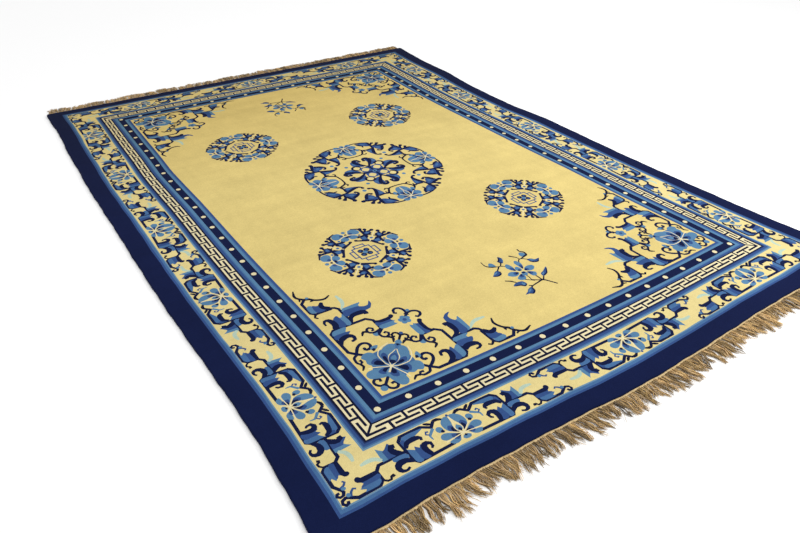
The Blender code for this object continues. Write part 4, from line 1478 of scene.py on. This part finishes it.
def add_yarn(route, yarn, chance, parts):
    """One yarn: a thin three-sided tube that joins its tuft and curls with it toward the tip."""
    place, pull, length, curl, bright = yarn
    vertices, faces, colours = parts
    depth = chance.random()
    stray = YARN_SCATTER * (LOOSE_SCATTER if chance.random() < LOOSE_YARNS else 1.0)
    end_share = min(1.0, length * chance.uniform(*YARN_LENGTHS))
    aside = chance.uniform(-1, 1)
    back = abs(chance.uniform(-1, 1))
    chance.random()    # keeps the draws after it in their order
    phase = curl + chance.uniform(-PHASE_SPREAD, PHASE_SPREAD)
    turns = chance.uniform(*YARN_TURNS)
    # painted shade: yarns lying lower in the fringe are darker, those on top lighter
    shade = bright * chance.uniform(*YARN_SHADES) * (LOW_YARN_SHADOW + UPPER_YARN_LIGHT * depth)
    red, green, blue = (shade * part for part in YARN_DYE)
    tone = (red, green, blue * chance.uniform(*YARN_BLUES))
    width = YARN_WIDTH * chance.uniform(*YARN_WIDTHS)
    start = len(vertices)
    last = len(route) - 1
    for k in range(last + 1):
        out = k / last
        share = out * end_share * last
        i = min(int(share), last - 1)
        run = Vector(route[i + 1]) - Vector(route[i])
        tangent = run.normalized()
        across = Vector((-tangent.y, tangent.x))
        side = place + pull * out ** 1.4 + stray * aside * out * out
        side += YARN_CURL * out * math.sin(phase + 2 * math.pi * turns * out)
        push = -stray * back * 0.5 * out
        middle = Vector(route[i]) + (share - i) * run + side * across + push * tangent
        # a yarn rises from the web, is highest past its middle and comes down to the floor
        bulge = math.sin(math.pi * min(1.0, 0.04 + 0.86 * out ** 0.8))
        height = width / 2 + depth * (PILE_OF_YARNS - width) * (0.12 + 0.88 * bulge)
        radius = 0.5 * width * (1.0 if k < last else YARN_TIP)
        for c in range(3):
            angle = 2 * math.pi * c / 3 + phase + TUBE_TWIST * out
            x, y = middle + radius * math.cos(angle) * across
            vertices.append((x, y, max(LOWEST_YARN, height + radius * math.sin(angle))))
    for k in range(last):
        for c in range(3):
            a = start + 3 * k + c
            b = start + 3 * k + (c + 1) % 3
            faces.append((a, b, b + 3, a + 3))
    faces.append((start, start + 2, start + 1))
    faces.append((start + 3 * last, start + 3 * last + 1, start + 3 * last + 2))
    colours += [tone] * (3 * last + 2)


def add_web(fringe, chance, parts):
    """Narrow woven strip: a low ridged band between the cloth and the yarns."""
    vertices, faces, colours = parts
    left = corner_arc(-1, fringe.outward)[-1][0]
    right = corner_arc(1, fringe.outward)[-1][0]
    start = len(vertices)
    for k in range(WEB_STEPS + 1):
        across = left + (right - left) * k / WEB_STEPS
        edge = end_edge(fringe.outward, across)
        for outward, height in WEB_PROFILE:
            x, y = on_floor(across, fringe.outward * (edge + outward))
            sunk = WEB_UNEVENNESS * chance.random() * (height > 0)
            vertices.append((x, y, height * WEB_HEIGHT * (1 - sunk)))
    count = len(WEB_PROFILE)
    for k in range(WEB_STEPS):
        shade = chance.uniform(*WEB_SHADES)
        for r in range(count):
            a = start + k * count + r
            b = start + k * count + (r + 1) % count
            faces.append((a, b, b + count, a + count) if fringe.outward < 0 else (b, a, a + count, b + count))
            colours.append([shade * part for part in WEB_DYE])
    for base in (start, start + WEB_STEPS * count):
        faces.append(tuple(base + r for r in range(count)))
        colours.append(WEB_DYE)


# Surroundings

CAMERA_PLACE = (-1.6931, -2.6726, 1.5396)    # before the shift to the frame's origin
CAMERA_TURN = (0.98677, -0.01037, -0.5929)
CAMERA_LENS = 31.476
FLOOR_HALF_SIZE = 30.0
FLOOR_WHITE = (0.93, 0.93, 0.93, 1.0)
SKY_STRENGTH = 0.75
KEY_STRENGTH = 1.05
KEY_WIDTH = math.radians(25)
KEY_TURN = (math.radians(35), math.radians(20), 0.0)
LAMP_POWER = 75.0
LAMP_SIZE = 2.0
LAMP_PLACE = (2.4, -2.0, 2.4)
LAMP_AIM = (0.3, -0.2, 0.0)


def make_camera():
    """The photo's camera, as fitted to the border's corners and pearls."""
    data = bpy.data.cameras.new("camera")
    data.lens = CAMERA_LENS
    data.sensor_width = 36.0
    camera = bpy.data.objects.new("camera", data)
    camera.location = (CAMERA_PLACE[0] + SHIFT[0], CAMERA_PLACE[1] + SHIFT[1], CAMERA_PLACE[2])
    camera.rotation_euler = CAMERA_TURN
    bpy.context.scene.collection.objects.link(camera)
    bpy.context.scene.camera = camera


def make_floor():
    """Plain white floor, much larger than the picture."""
    mesh = bpy.data.meshes.new("floor")
    ends = (-FLOOR_HALF_SIZE, FLOOR_HALF_SIZE)
    mesh.from_pydata([(x, y, 0) for y in ends for x in ends], [], [(0, 1, 3, 2)])
    material = bpy.data.materials.new("floor_white")
    material.use_nodes = True
    shader = material.node_tree.nodes["Principled BSDF"]
    set_values(shader, Base_Color=FLOOR_WHITE, Roughness=0.9, Specular_IOR_Level=0.1)
    add_piece("floor", mesh, material)


def make_lights():
    """White surroundings, a soft sun and a lamp at the near right."""
    world = bpy.data.worlds.new("studio")
    world.use_nodes = True
    set_values(world.node_tree.nodes["Background"], Color=(1.0, 1.0, 1.0, 1.0), Strength=SKY_STRENGTH)
    bpy.context.scene.world = world
    key = add_light("key", "SUN", energy=KEY_STRENGTH, angle=KEY_WIDTH)
    key.rotation_euler = KEY_TURN
    lamp = add_light("near_lamp", "AREA", energy=LAMP_POWER, size=LAMP_SIZE)
    lamp.location = LAMP_PLACE
    lamp.rotation_euler = (Vector(LAMP_AIM) - lamp.location).to_track_quat("-Z", "Y").to_euler()


def add_light(name, kind, **values):
    """New light with its values, linked to the scene."""
    data = bpy.data.lights.new(name, kind)
    for key, value in values.items():
        setattr(data, key, value)
    light = bpy.data.objects.new(name, data)
    bpy.context.scene.collection.objects.link(light)
    return light


def main():
    """The whole scene; each piece rides the part's one body."""
    bpy.context.scene.view_settings.view_transform = "Standard"
    make_camera()
    make_lights()
    make_floor()
    cloth = add_piece("rug_cloth", make_cloth(), pile_material())
    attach(cloth, "root")
    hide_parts("rug_body")
    yarn = yarn_material()
    for fringe in FRINGES:
        piece = add_piece(fringe.name + "_yarns", make_fringe(fringe), yarn)
        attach(piece, "root")
        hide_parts(fringe.name)


main()
